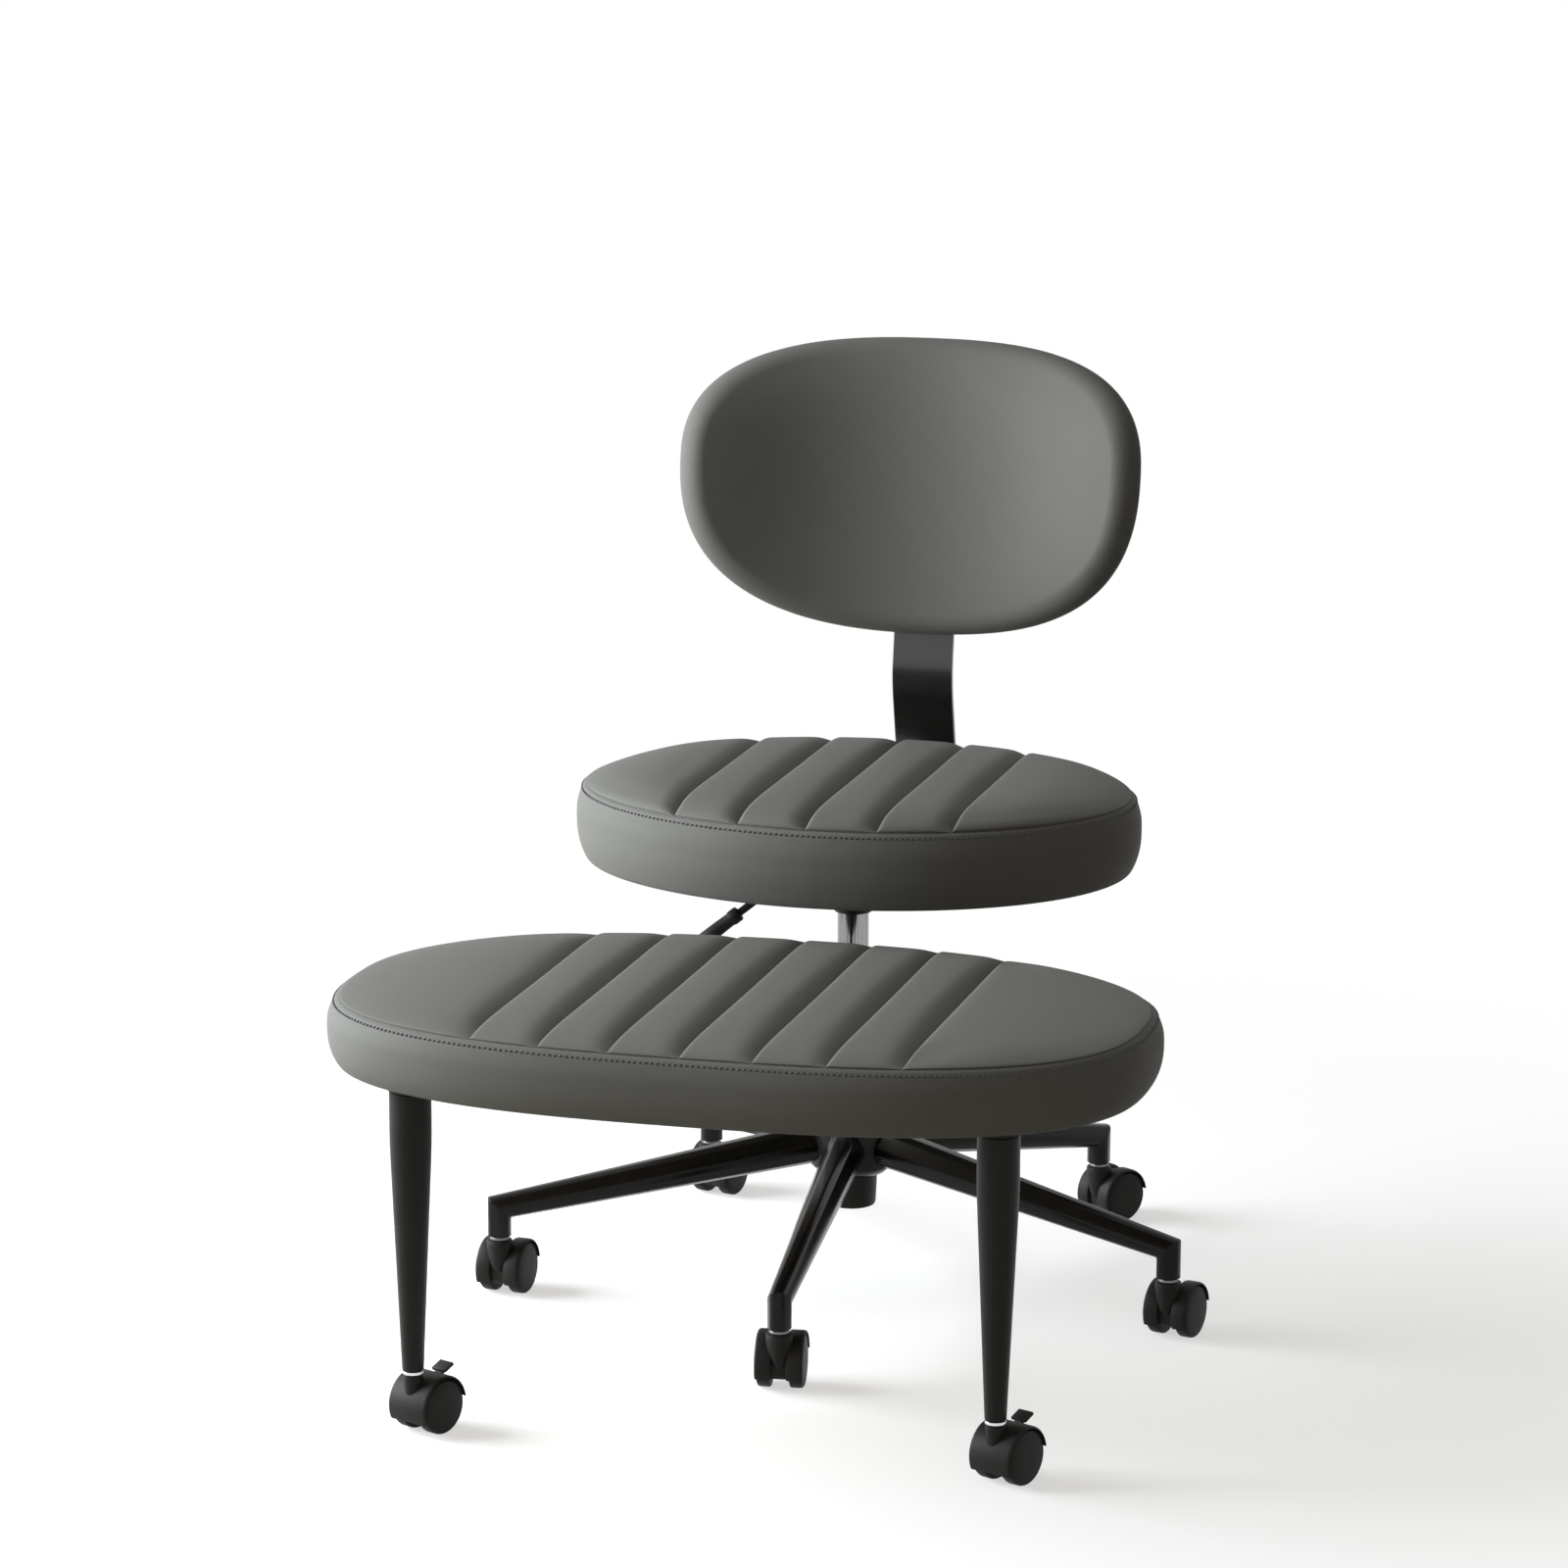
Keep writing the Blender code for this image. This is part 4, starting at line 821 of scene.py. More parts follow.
plate_middle = Vector((column.x, low.y + ARM_PLATE_HALF_LENGTH, high.z - ARM_PLATE))


def bolted(name, body, places):
    """Bolt heads at these places, as one piece."""
    heads = []
    for place in places:
        head = copied(bolt, name, place)
        head.hide_render = False
        heads.append(head)
    return fitted(joined(heads, name), body, "zinc_steel", zinc_plate)


arm_bolts = [Matrix.Translation(plate_middle + Vector((x, y, 0))) for x, y in ARM_PLATE_BOLTS]
bolted("foot_plate_bolts", "footrest", arm_bolts)


# The legs: turned from tube, straight below the pad and tapering to the caster, with a plate on top.
# Satin black coat, with a crisp lower edge over the caster's bright collar.
LEG_RADIUS = 0.0175
LEG_FOOT_RADIUS = 0.0090
LEG_STRAIGHT = 0.0450
LEG_FOOT = 0.0565
LEG_BLEND = 0.0120

for number in (1, 2):
    spot = joints[f"leg_caster_{number}_swivel_joint"]["pos_m"]
    low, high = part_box(f"leg_{number}")
    shoulder = high.z - LEG_STRAIGHT
    fall = (LEG_RADIUS - LEG_FOOT_RADIUS) / (shoulder - LEG_FOOT)
    leg = turned(
        f"leg_{number}_tube",
        [
            (0.0, high.z),
            (LEG_RADIUS - 0.0008, high.z),
            (LEG_RADIUS, high.z - 0.0008),
            (LEG_RADIUS, shoulder + LEG_BLEND),
            (LEG_RADIUS - LEG_BLEND / 2 * fall / 2, shoulder),
            (LEG_RADIUS - LEG_BLEND * fall, shoulder - LEG_BLEND),
            (LEG_FOOT_RADIUS + 0.0012 * fall, LEG_FOOT + 0.0012),
            (LEG_FOOT_RADIUS - 0.0003, LEG_FOOT + 0.0003),
            (LEG_FOOT_RADIUS - 0.0012, LEG_FOOT),
            (0.0, LEG_FOOT),
        ],
        (spot[0], spot[1], 0),
    )
    fitted(leg, "footrest", "black_steel", satin_black, f"leg_{number}")
    plate = softened(f"leg_plate_{number}", f"leg_{number}_top_plate", 0.0006)
    fitted(plate, "footrest", "black_steel", satin_black, f"leg_plate_{number}")


# The legs' casters: the same wheels under one hood that closes the front, with a slimmer boss set in it.
# A brake pedal stands in a slot at the rear.
LEG_BOSS_RADIUS = 0.0082
LEG_WEB_RADIUS = 0.0255
PEDAL_BACK = 0.0130
PEDAL_UP = 0.0186
SLOT_SIZE = (0.0125, 0.0092, 0.0260)
SLOT_SHIFT = (0.00125, 0, 0.0070)

hood = hood_strip("leg_hood", hood_edge(-1)[::-1] + hood_edge(1))
leg_web = wheel_web("leg_web", LEG_WEB_RADIUS)
bpy.ops.object.select_all(action="DESELECT")
bpy.ops.mesh.primitive_cube_add(size=1.0)
slot_cutter = bpy.context.object
slot_middle = axle + Vector((PEDAL_BACK, 0, PEDAL_UP)) + Vector(SLOT_SHIFT)
slot_cutter.data.transform(Matrix.Translation(slot_middle) @ Matrix.Diagonal((*SLOT_SIZE, 1)))
for piece in (hood, leg_web):
    chosen(piece)
    cut = piece.modifiers.new("pedal_slot", "BOOLEAN")
    cut.operation = "DIFFERENCE"
    cut.solver = "EXACT"
    cut.object = slot_cutter
    bpy.ops.object.modifier_apply(modifier=cut.name)
    bpy.ops.object.shade_smooth_by_angle(angle=SHARP_ANGLE)
bpy.data.objects.remove(slot_cutter)
leg_boss = turned(
    "leg_boss",
    [
        (0.0, BOSS_TOP - 0.004),
        (0.0052, BOSS_TOP - 0.004),
        (0.0052, BOSS_TOP),
        (LEG_BOSS_RADIUS - 0.0007, BOSS_TOP),
        (LEG_BOSS_RADIUS, BOSS_TOP - 0.0007),
        (LEG_BOSS_RADIUS, BOSS_TOP - 0.0050),
        (0.0066, 0.0365),
        (0.0040, 0.0330),
        (0.0, 0.0320),
    ],
    (0, 0, 0),
    steps=48,
)
leg_housing = joined([hood, leg_web, leg_boss], "leg_caster_moulding")
for number in (1, 2):
    name = f"leg_caster_{number}"
    one = copied(leg_housing, name + "_moulding", caster_place(name))
    fitted(one, name, "black_nylon", nylon, name + "_housing")
    pedal = softened(name + "_pedal", name + "_brake_tab", 0.0005)
    fitted(pedal, name + "_pedal", "black_nylon", nylon, name + "_pedal")
bpy.data.objects.remove(leg_housing)


# The foot pad's board: birch plywood that the foam is glued to and the cover is stapled under.
# It shows only from below, with its grain along the pad and its plies at the edge.
plywood, shader, place = finish_named("birch_plywood")
drawn = place.node("ShaderNodeMapping", {}, {"Vector": place, "Scale": (9.0, 120.0, 40.0)})
figure = noise(drawn, 1.0, 5.0)
plies = place.node(
    "ShaderNodeTexWave",
    {"wave_type": "BANDS", "bands_direction": "Z"},
    {"Vector": place, "Scale": 110.0, "Distortion": 0.6, "Detail": 1.0},
    output=1,
)
wood = two_tones(figure * 0.75 + plies * 0.25, (0.42, 0.29, 0.17), (0.60, 0.45, 0.29))
wood.to(shader, "Base Color")
(figure * 0.14 + 0.60).to(shader, "Roughness")
bumped(figure, shader, 0.0004, 0.35)
frame["nodes"]["foot_board"].material_slots[0].material = plywood


# The foot pad's cushion: foam under a grey imitation leather cover, sewn down in seven straight grooves.
# A seam joins its top to its side band, with a row of top stitching just below it.
FOOT_HALF_WIDTH = 0.3500
FOOT_HALF_DEPTH = 0.2160
FOOT_FRONT_EXPONENT = 2.70
FOOT_REAR_EXPONENT = 2.35
FOOT_SEAM = 0.0560
FOOT_SEAM_INSET = 0.0095
FOOT_CROWN = 0.0083
FOOT_TIP_POWER = 2.2
FOOT_GROOVES = 7
FOOT_PITCH = 0.0600
PAD_ROWS = 24
PAD_SWELLING = (4.0, 0.0016, 6)
BOARD_THICKNESS = 0.0123
BOARD_INSET = 0.0120
HEM_INSET = 0.0085
BAND_WIDEST = 0.52
BAND_FOOT_POWER = 2.4
BAND_TOP_POWER = 3.5
SEAM_DIP = 0.0013
ROW_BELOW = 0.0041
ROW_DIP = 0.0003
SHOULDER = 0.0250
CROWN_POWER = 7.0
GROOVE_DEPTH = 0.0080
GROOVE_AT_SEAM = 0.45
GROOVE_RUN_OUT = 0.0140
GROOVE_LIMIT = 0.92
END_REACH = 0.60
ROLL_REACH = 0.35
ROLL_POWER = 2.3
RISE_REACH = 0.080
RISE_POWER = 2.2
FALL_STEPS = (-END_REACH, -0.44, -0.35, -0.275, -0.21, -0.15, -0.10, -0.06, -0.032, -0.012)
RISE_STEPS = (0.0, 0.006, 0.014, 0.026, 0.042, 0.060, 0.080, 0.14, 0.28)
# How far painted shade darkens the cover along the seam and in the grooves.
SEAM_SHADE = 0.40
GROOVE_SHADE = 0.8
FAN = 32
FREE, HELD, SEWN, SEAM = 0, 1, 2, 3
CLOTH_FRAMES = 20


def channel_marks(grooves, pitch):
    """The columns across the sewn channels: pairs of x and how far each is drawn down, one in a groove.

    Each channel falls slowly to the groove on its right, and the next one rises steeply beyond it.
    """
    marks = []
    for groove in range(grooves):
        middle = pitch * (groove - (grooves - 1) / 2)
        for step in FALL_STEPS:
            marks.append((middle + step * pitch, max(0.0, 1 + step / ROLL_REACH) ** ROLL_POWER))
        for step in RISE_STEPS:
            left = max(0.0, 1 - step / RISE_REACH)
            marks.append((middle + step * pitch, 1 - (1 - left ** RISE_POWER) ** (1 / RISE_POWER)))
    last = pitch * (grooves - 1) / 2
    return marks + [(last + 0.45 * pitch, 0.0), (last + END_REACH * pitch, 0.0)]


def oval_loop(marks, half_width, before, behind, front_exponent, rear_exponent, inset, share):
    """A loop round an oval drawn in by an inset, and then towards its long middle line.

    Each point is its x and y, how far it is drawn down, and a share that grows to one at the oval's tips.
    """
    reach = half_width - inset
    end = marks[-1][0]
    tip = []
    for step in range(1, FAN + 1):
        part = 2 * step / (FAN + 1) - 1
        exponent = rear_exponent if part > 0 else front_exponent
        depth = (behind if part > 0 else before) - inset
        angle = math.acos((end / reach) ** (exponent / 2)) * part
        x = reach * math.cos(angle) ** (2 / exponent)
        y = math.copysign(depth * abs(math.sin(angle)) ** (2 / exponent), part)
        tip.append((end + (x - end) * share, y * share, 0.0, (1 - part * part) ** 2))
    front = []
    rear = []
    for x, down in marks:
        ahead = (1 - abs(x / reach) ** front_exponent) ** (1 / front_exponent)
        back = (1 - abs(x / reach) ** rear_exponent) ** (1 / rear_exponent)
        front.append((x, (inset - before) * ahead * share, down, 0.0))
        rear.append((x, (behind - inset) * back * share, down, 0.0))
    return front + tip + rear[::-1] + [(-x, y, down, ends) for x, y, down, ends in reversed(tip)]


def band_inset(height, seam, seam_inset):
    """How far the side band lies inside the widest line, at a height below the seam."""
    widest = BAND_WIDEST * seam
    if height < widest:
        return HEM_INSET * (1 - height / widest) ** BAND_FOOT_POWER
    return seam_inset * ((height - widest) / (seam - widest)) ** BAND_TOP_POWER


def pad_levels(outline, seam, seam_inset, crown, tip_power):
    """Levels of a pad from under the foam round to the middle of its top.

    Each is an inset, a share, a height, a groove's depth, a drop at the tips and the kind of its points.
    """
    marks, half_width, half_depth, *_ = outline
    tip_run = half_width - marks[-1][0]
    levels = [
        (BOARD_INSET, 0.0, BOARD_THICKNESS, 0.0, 0.0, HELD),
        (BOARD_INSET, 0.5, BOARD_THICKNESS, 0.0, 0.0, HELD),
        (BOARD_INSET, 1.0, BOARD_THICKNESS, 0.0, 0.0, HELD),
        (BOARD_INSET, 1.0, 0.0006, 0.0, 0.0, HELD),
        (BOARD_INSET - 0.0006, 1.0, 0.0, 0.0, 0.0, HELD),
        (HEM_INSET + 0.0012, 1.0, 0.0, 0.0, 0.0, HELD),
        (HEM_INSET + 0.0002, 1.0, 0.0004, 0.0, 0.0, HELD),
    ]
    for share in (0.025, 0.06, 0.11, 0.18, 0.27, 0.37, 0.47, 0.57, 0.66, 0.74):
        levels.append((band_inset(share * seam, seam, seam_inset), 1.0, share * seam, 0.0, 0.0, HELD))
    for below, push in (
        (ROW_BELOW + 0.0018, 0.0),
        (ROW_BELOW + 0.0008, 0.0),
        (ROW_BELOW, ROW_DIP),
        (ROW_BELOW - 0.0008, 0.0),
        (ROW_BELOW - 0.0018, -0.0003),
        (0.0015, -0.0002),
        (0.0006, 0.0002),
        (0.0002, 0.0007),
    ):
        inset = band_inset(seam - below, seam, seam_inset) + push
        levels.append((inset, 1.0, seam - below, 0.0, 0.0, HELD))
    levels.append((seam_inset + SEAM_DIP, 1.0, seam, 0.0, 0.0, SEAM))
    run = half_depth - seam_inset
    steps = (0.0005, 0.0014, 0.0030, 0.0055, 0.0090, 0.0125)
    places = [(seam_inset + step, 1.0, step, step) for step in steps]
    for row in range(PAD_ROWS + 1):
        share = 1 - row / PAD_ROWS
        inwards = SHOULDER - seam_inset + (half_depth - SHOULDER) * (1 - share)
        at_tip = SHOULDER - seam_inset + (tip_run - SHOULDER) * (1 - share)
        places.append((SHOULDER, share, inwards, at_tip))
    for inset, share, inwards, at_tip in places:
        left = max(0.0, 1 - inwards / run)
        rise = math.sqrt(1 - left ** CROWN_POWER)
        tip_left = max(0.0, 1 - at_tip / (tip_run - seam_inset))
        drop = crown * (rise - 1 + tip_left ** tip_power)
        ease = min(1.0, inwards / GROOVE_RUN_OUT)
        groove = GROOVE_DEPTH * (GROOVE_AT_SEAM + (1 - GROOVE_AT_SEAM) * ease * (2 - ease))
        groove = min(groove, GROOVE_LIMIT * crown * rise)
        levels.append((inset, share, seam + crown * rise, groove, drop, FREE))
    return levels


def from_form(name, form):
    """A piece whose mesh is this finished form."""
    mesh = bpy.data.meshes.new(name)
    form.to_mesh(mesh)
    form.free()
    piece = bpy.data.objects.new(name, mesh)
    bpy.context.collection.objects.link(piece)
    return piece


def pad_form(name, outline, levels, put):
    """The cover's mesh over these levels, each point marked as free, held, sewn or on the seam."""
    form = bmesh.new()
    line = form.verts.layers.int.new("line")
    shade = form.verts.layers.float.new("crease_shade")
    rings = []
    for inset, share, height, groove, drop, kind in levels:
        ring = []
        for x, y, down, ends in oval_loop(*outline, inset, share):
            point = form.verts.new(put(x, y, height - groove * down - drop * ends))
            point[line] = SEWN if kind == FREE and down == 1.0 else kind
            # Points on the seam and in the grooves carry painted shade, which darkens the cover's colour
            # there.
            point[shade] = {SEWN: GROOVE_SHADE, SEAM: SEAM_SHADE}.get(point[line], 0.0)
            ring.append(point)
        rings.append(ring)
    for lower, upper in zip(rings, rings[1:]):
        for i in range(len(lower)):
            j = (i + 1) % len(lower)
            form.faces.new((lower[i], lower[j], upper[j], upper[i]))
    bmesh.ops.remove_doubles(form, verts=form.verts, dist=0.00002)
    bmesh.ops.recalc_face_normals(form, faces=form.faces)
    return from_form(name, form)


def swollen(piece, pressure, most, calm):
    """Lets the foam push the free cover out between its seams, and keeps the simulation's result.

    The swelling has a pressure, the most that a point may move and how often its moves are evened out.
    """
    kinds = [item.value for item in piece.data.attributes["line"].data]
    sewn = piece.vertex_groups.new(name="sewn")
    sewn.add([i for i, kind in enumerate(kinds) if kind != FREE], 1.0, "REPLACE")
    before = [point.co.copy() for point in piece.data.vertices]
    chosen(piece)
    swelling = piece.modifiers.new("swelling", "CLOTH")
    swelling.settings.quality = 6
    swelling.settings.mass = 0.4
    swelling.settings.tension_stiffness = 25.0
    swelling.settings.compression_stiffness = 25.0
    swelling.settings.shear_stiffness = 12.0
    swelling.settings.bending_stiffness = 2.0
    swelling.settings.air_damping = 2.0
    swelling.settings.use_pressure = True
    swelling.settings.uniform_pressure_force = pressure
    swelling.settings.vertex_group_mass = sewn.name
    swelling.settings.effector_weights.gravity = 0.0
    swelling.point_cache.frame_start = 1
    swelling.point_cache.frame_end = CLOTH_FRAMES
    for step in range(1, CLOTH_FRAMES + 1):
        bpy.context.scene.frame_set(step)
    bpy.ops.object.modifier_apply(modifier=swelling.name)
    bpy.context.scene.frame_set(1)
    ways = [point.co - old for point, old in zip(piece.data.vertices, before)]
    for _ in range(calm):
        sums = [way.copy() for way in ways]
        count = [1] * len(ways)
        for edge in piece.data.edges:
            for here, there in (edge.vertices, reversed(edge.vertices)):
                sums[here] += ways[there]
                count[here] += 1
        for i, kind in enumerate(kinds):
            ways[i] = sums[i] / count[i] if kind == FREE else Vector((0, 0, 0))
    for point, old, way in zip(piece.data.vertices, before, ways):
        point.co = old
        if way.length > 0.0:
            point.co = old + way * (most * math.tanh(way.length / most) / way.length)
    piece.vertex_groups.clear()


def sewn_smooth(piece):
    """Keeps the grooves and the seam sharp, rounds the rest by one subdivision and shades it smooth."""
    mesh = piece.data
    kinds = [item.value for item in mesh.attributes["line"].data]
    crease = mesh.attributes.new("crease_edge", "FLOAT", "EDGE")
    for edge, item in zip(mesh.edges, crease.data):
        first, second = edge.vertices
        if kinds[first] == kinds[second] and kinds[first] in (SEWN, SEAM):
            item.value = 1.0
    chosen(piece)
    rounding = piece.modifiers.new("rounding", "SUBSURF")
    rounding.levels = 1
    rounding.render_levels = 1
    bpy.ops.object.modifier_apply(modifier=rounding.name)
    piece.data.attributes.remove(piece.data.attributes["line"])
    bpy.ops.object.shade_smooth()
    return piece


def made_up(name, outline, levels, put, swelling):
    """A cushion's cover: its form, swollen by its foam and then sewn."""
    piece = pad_form(name, outline, levels, put)
    swollen(piece, *swelling)
    return sewn_smooth(piece)


cover, shader, place = finish_named("grey_cover")
cloud = noise(place, 7.0, 3.0)
fleck = noise(place, 260.0, 3.0)
grey = two_tones(cloud * 0.7 + fleck * 0.3, (0.128, 0.128, 0.121), (0.152, 0.152, 0.145))
# The seam and the grooves are darkened towards near black by painted shade, read from each point's
# crease_shade.
crease = place.node("ShaderNodeAttribute", {"attribute_name": "crease_shade"}, {}, output=2)
grey_with_painted_shade = place.node(
    "ShaderNodeMix",
    {"data_type": "RGBA"},
    {0: crease * 0.85, 6: grey, 7: (0.010, 0.010, 0.009, 1.0)},
    output=2,
)
grey_with_painted_shade.to(shader, "Base Color")
pores = place.node(
    "ShaderNodeTexVoronoi",
    {"feature": "DISTANCE_TO_EDGE"},
    {"Vector": place, "Scale": 850.0, "Randomness": 0.9},
)
(cloud * 0.10 + 0.60 + fleck * 0.04).to(shader, "Roughness")
creases = pores.node("ShaderNodeMapRange", {}, {"Value": pores, "From Max": 0.22})
bumped(creases * 0.55 + fleck * 0.45, shader, 0.00013, 0.55)
shader.inputs["Specular IOR Level"].default_value = 0.10

low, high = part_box("foot_cushion")
foot_middle = Vector(((low.x + high.x) / 2, (low.y + high.y) / 2, low.z))
foot_outline = (
    channel_marks(FOOT_GROOVES, FOOT_PITCH),
    FOOT_HALF_WIDTH,
    FOOT_HALF_DEPTH,
    FOOT_HALF_DEPTH,
    FOOT_FRONT_EXPONENT,
    FOOT_REAR_EXPONENT,
)


def foot_place(x, y, height):
    """A point of the foot pad's cover."""
    return foot_middle + Vector((x, y, height))


foot_pad = made_up(
    "foot_pad_cover",
    foot_outline,
    pad_levels(foot_outline, FOOT_SEAM, FOOT_SEAM_INSET, FOOT_CROWN, FOOT_TIP_POWER),
    foot_place,
    PAD_SWELLING,
)
fitted(foot_pad, "footrest", "grey_cover", cover, "foot_cushion")


# The top stitching round the foot pad: polyester thread, one stitch after another in its own shallow row.
# Each stitch lies a little askew, half sunk between the needle's holes, and is coloured near black as painted
# shade for the holes' shadows.
STITCH_LENGTH = 0.0024
STITCH_PITCH = 0.0048
THREAD_RADIUS = 0.00100
STITCH_SKEW = math.radians(18.0)

stitch_shade_look, shader, place = finish_named("near_black_stitches_painted_shade")
twist = noise(place, 2600.0, 2.0)
# Near black: painted shade of the needle holes, laid on the stitches.
two_tones(twist, (0.008, 0.008, 0.008), (0.024, 0.024, 0.023)).to(shader, "Base Color")
(twist * 0.2 + 0.55).to(shader, "Roughness")
bumped(twist, shader, 0.0001, 0.5)

stitch = turned(
    "one_stitch",
    [
        (0.0, -STITCH_LENGTH / 2),
        (THREAD_RADIUS * 0.7, -STITCH_LENGTH * 0.44),
        (THREAD_RADIUS, -STITCH_LENGTH * 0.25),
        (THREAD_RADIUS, STITCH_LENGTH * 0.25),
        (THREAD_RADIUS * 0.7, STITCH_LENGTH * 0.44),
        (0.0, STITCH_LENGTH / 2),
    ],
    (0, 0, 0),
    axis=(1, 0, 0),
    steps=6,
)


def stitched(name, outline, seam, seam_inset, put):
    """A row of stitches round a pad's band, as one piece."""
    height = seam - ROW_BELOW
    inset = band_inset(height, seam, seam_inset) + ROW_DIP * 0.5
    ring = [Vector(put(x, y, height)) for x, y, *_ in oval_loop(*outline, inset, 1.0)]
    lengths = [(after - before).length for before, after in zip(ring, ring[1:] + ring[:1])]
    count = round(sum(lengths) / STITCH_PITCH)
    pitch = sum(lengths) / count
    row = bmesh.new()
    spot = 0
    walked = 0.0
    for number in range(count):
        while walked + lengths[spot] < number * pitch:
            walked += lengths[spot]
            spot += 1
        before = ring[spot]
        after = ring[(spot + 1) % len(ring)]
        along = (after - before).normalized()
        middle = before + along * (number * pitch - walked)
        outwards = along.cross(Vector((0, 0, 1))).normalized()
        lie = Matrix((along, outwards, outwards.cross(along) * -1)).transposed().to_4x4()
        known = len(row.verts)
        row.from_mesh(stitch.data)
        row.verts.ensure_lookup_table()
        place = Matrix.Translation(middle) @ lie @ Matrix.Rotation(STITCH_SKEW, 4, "Y")
        bmesh.ops.transform(row, matrix=place, verts=row.verts[known:])
    bmesh.ops.recalc_face_normals(row, faces=row.faces)
    piece = from_form(name, row)
    piece.data.shade_smooth()
    return piece


foot_row = stitched("foot_pad_stitching", foot_outline, FOOT_SEAM, FOOT_SEAM_INSET, foot_place)
fitted(foot_row, "footrest", "grey_cover", stitch_shade_look)


# The gas lift: a thin rod that stands on the column's floor, and the bright cylinder that slides on it.
# Hard chromed steel with faint lengthwise polishing marks; its colour is darkened in bluish lengthwise
# streaks, a painted reflection of a dim room.
CYLINDER_RADIUS = 0.0140
CYLINDER_TOP_RADIUS = 0.0130

chrome, shader, place = finish_named("hard_chrome")
streaked_place = place.node("ShaderNodeMapping", {}, {"Vector": place, "Scale": (900.0, 900.0, 14.0)})
marks = noise(streaked_place, 1.0, 3.0)
# Dark bluish to pale grey streaks: polishing marks, and a painted reflection that dims the chrome.
two_tones(marks, (0.15, 0.16, 0.18), (0.44, 0.44, 0.43)).to(shader, "Base Color")
(marks * 0.10 + 0.07).to(shader, "Roughness")
bumped(marks, shader, 0.00003, 0.25)
shader.inputs["Metallic"].default_value = 1.0

frame["nodes"]["piston_rod"].material_slots[0].material = chrome
socket_low, socket_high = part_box("taper_socket")
low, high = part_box("lift_cylinder")
cylinder = turned(
    "gas_cylinder",
    [
        (0.0, high.z - 0.0020),
        (0.0042, high.z - 0.0020),
        (0.0042, high.z),
        (CYLINDER_TOP_RADIUS - 0.0006, high.z),
        (CYLINDER_TOP_RADIUS, high.z - 0.0008),
        (CYLINDER_RADIUS, socket_low.z),
        (CYLINDER_RADIUS, low.z + 0.0010),
        (CYLINDER_RADIUS - 0.0010, low.z),
        (0.0057, low.z),
        (0.0057, low.z + 0.0200),
        (0.0, low.z + 0.0200),
    ],
    column,
)
fitted(cylinder, "seat", "bright_steel", chrome, "lift_cylinder")


# The seat's mechanism: a taper socket on the cylinder, a pressed box on it and a slotted plate to the board.
# All in satin black, with four bolts through the plate's slots.
SOCKET_RADIUS = 0.0240
SOCKET_FOOT_RADIUS = 0.0172
PLATE_BOLT_PLACE = 0.0650

socket = turned(
    "cylinder_socket",
    [
        (CYLINDER_RADIUS + 0.0002, socket_high.z),
        (SOCKET_RADIUS - 0.0005, socket_high.z),
        (SOCKET_RADIUS, socket_high.z - 0.0005),
        (SOCKET_RADIUS, socket_high.z - 0.0060),
        (SOCKET_FOOT_RADIUS + 0.0003, socket_low.z + 0.0012),
        (SOCKET_FOOT_RADIUS - 0.0008, socket_low.z),
        (CYLINDER_RADIUS + 0.0002, socket_low.z),
        (CYLINDER_RADIUS + 0.0002, socket_high.z),
    ],
    column,
)
fitted(socket, "seat", "black_steel", satin_black, "taper_socket")
box = softened("mechanism_box", "seat_mechanism_box", 0.0008)
fitted(box, "seat", "black_steel", satin_black, "mechanism_box")
plate = softened("seat_plate", "seat_mounting_plate", 0.0006)
fitted(plate, "seat", "black_steel", satin_black, "seat_plate")
low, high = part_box("seat_plate")
plate_bolts = []
for x in (-PLATE_BOLT_PLACE, PLATE_BOLT_PLACE):
    for y in (-PLATE_BOLT_PLACE, PLATE_BOLT_PLACE):
        plate_bolts.append(Matrix.Translation((column.x + x, column.y + y, low.z)))
bolted("seat_plate_bolts", "seat", plate_bolts)


# The height lever: a bent steel rod on a pin in the box, its inner end over the gas valve's pin.
# A plain black grip with a slightly thicker collar is pushed over its outer end.
LEVER_PIVOT = 0.0520
LEVER_SLOPE = math.radians(38.2)
LEVER_RADIUS = 0.0035
LEVER_LENGTH = 0.1050
LEVER_BEND = 0.0060
LEVER_STEPS = 16
BEND_STEPS = 10
PIN_RADIUS = 0.0020
PIN_HALF_LENGTH = 0.0090
GRIP_LENGTH = 0.0480
GRIP_RADIUS = 0.0064
GRIP_COLLAR_RADIUS = 0.0069
GRIP_START = 0.0634


def bent(name, section, path, bends):
    """A bar along a path: its end face is extruded along the straight stretches and spun round the bends."""
    piece = face_of(name, section)
    spot = path[0]
    for before, corner, after, bend in zip(path, path[1:], path[2:], bends):
        back = (before - corner).normalized()
        ahead = (after - corner).normalized()
        half = back.angle(ahead) / 2
        into = corner + back * bend / math.tan(half)
        middle = corner + (back + ahead).normalized() * bend / math.sin(half)
        bpy.ops.mesh.extrude_region_move(TRANSFORM_OT_translate={"value": into - spot})
        bpy.ops.mesh.spin(steps=BEND_STEPS, angle=math.pi - 2 * half, center=middle, axis=back.cross(ahead))
        spot = corner + ahead * bend / math.tan(half)
    bpy.ops.mesh.extrude_region_move(TRANSFORM_OT_translate={"value": path[-1] - spot})
    close_up()
    return piece


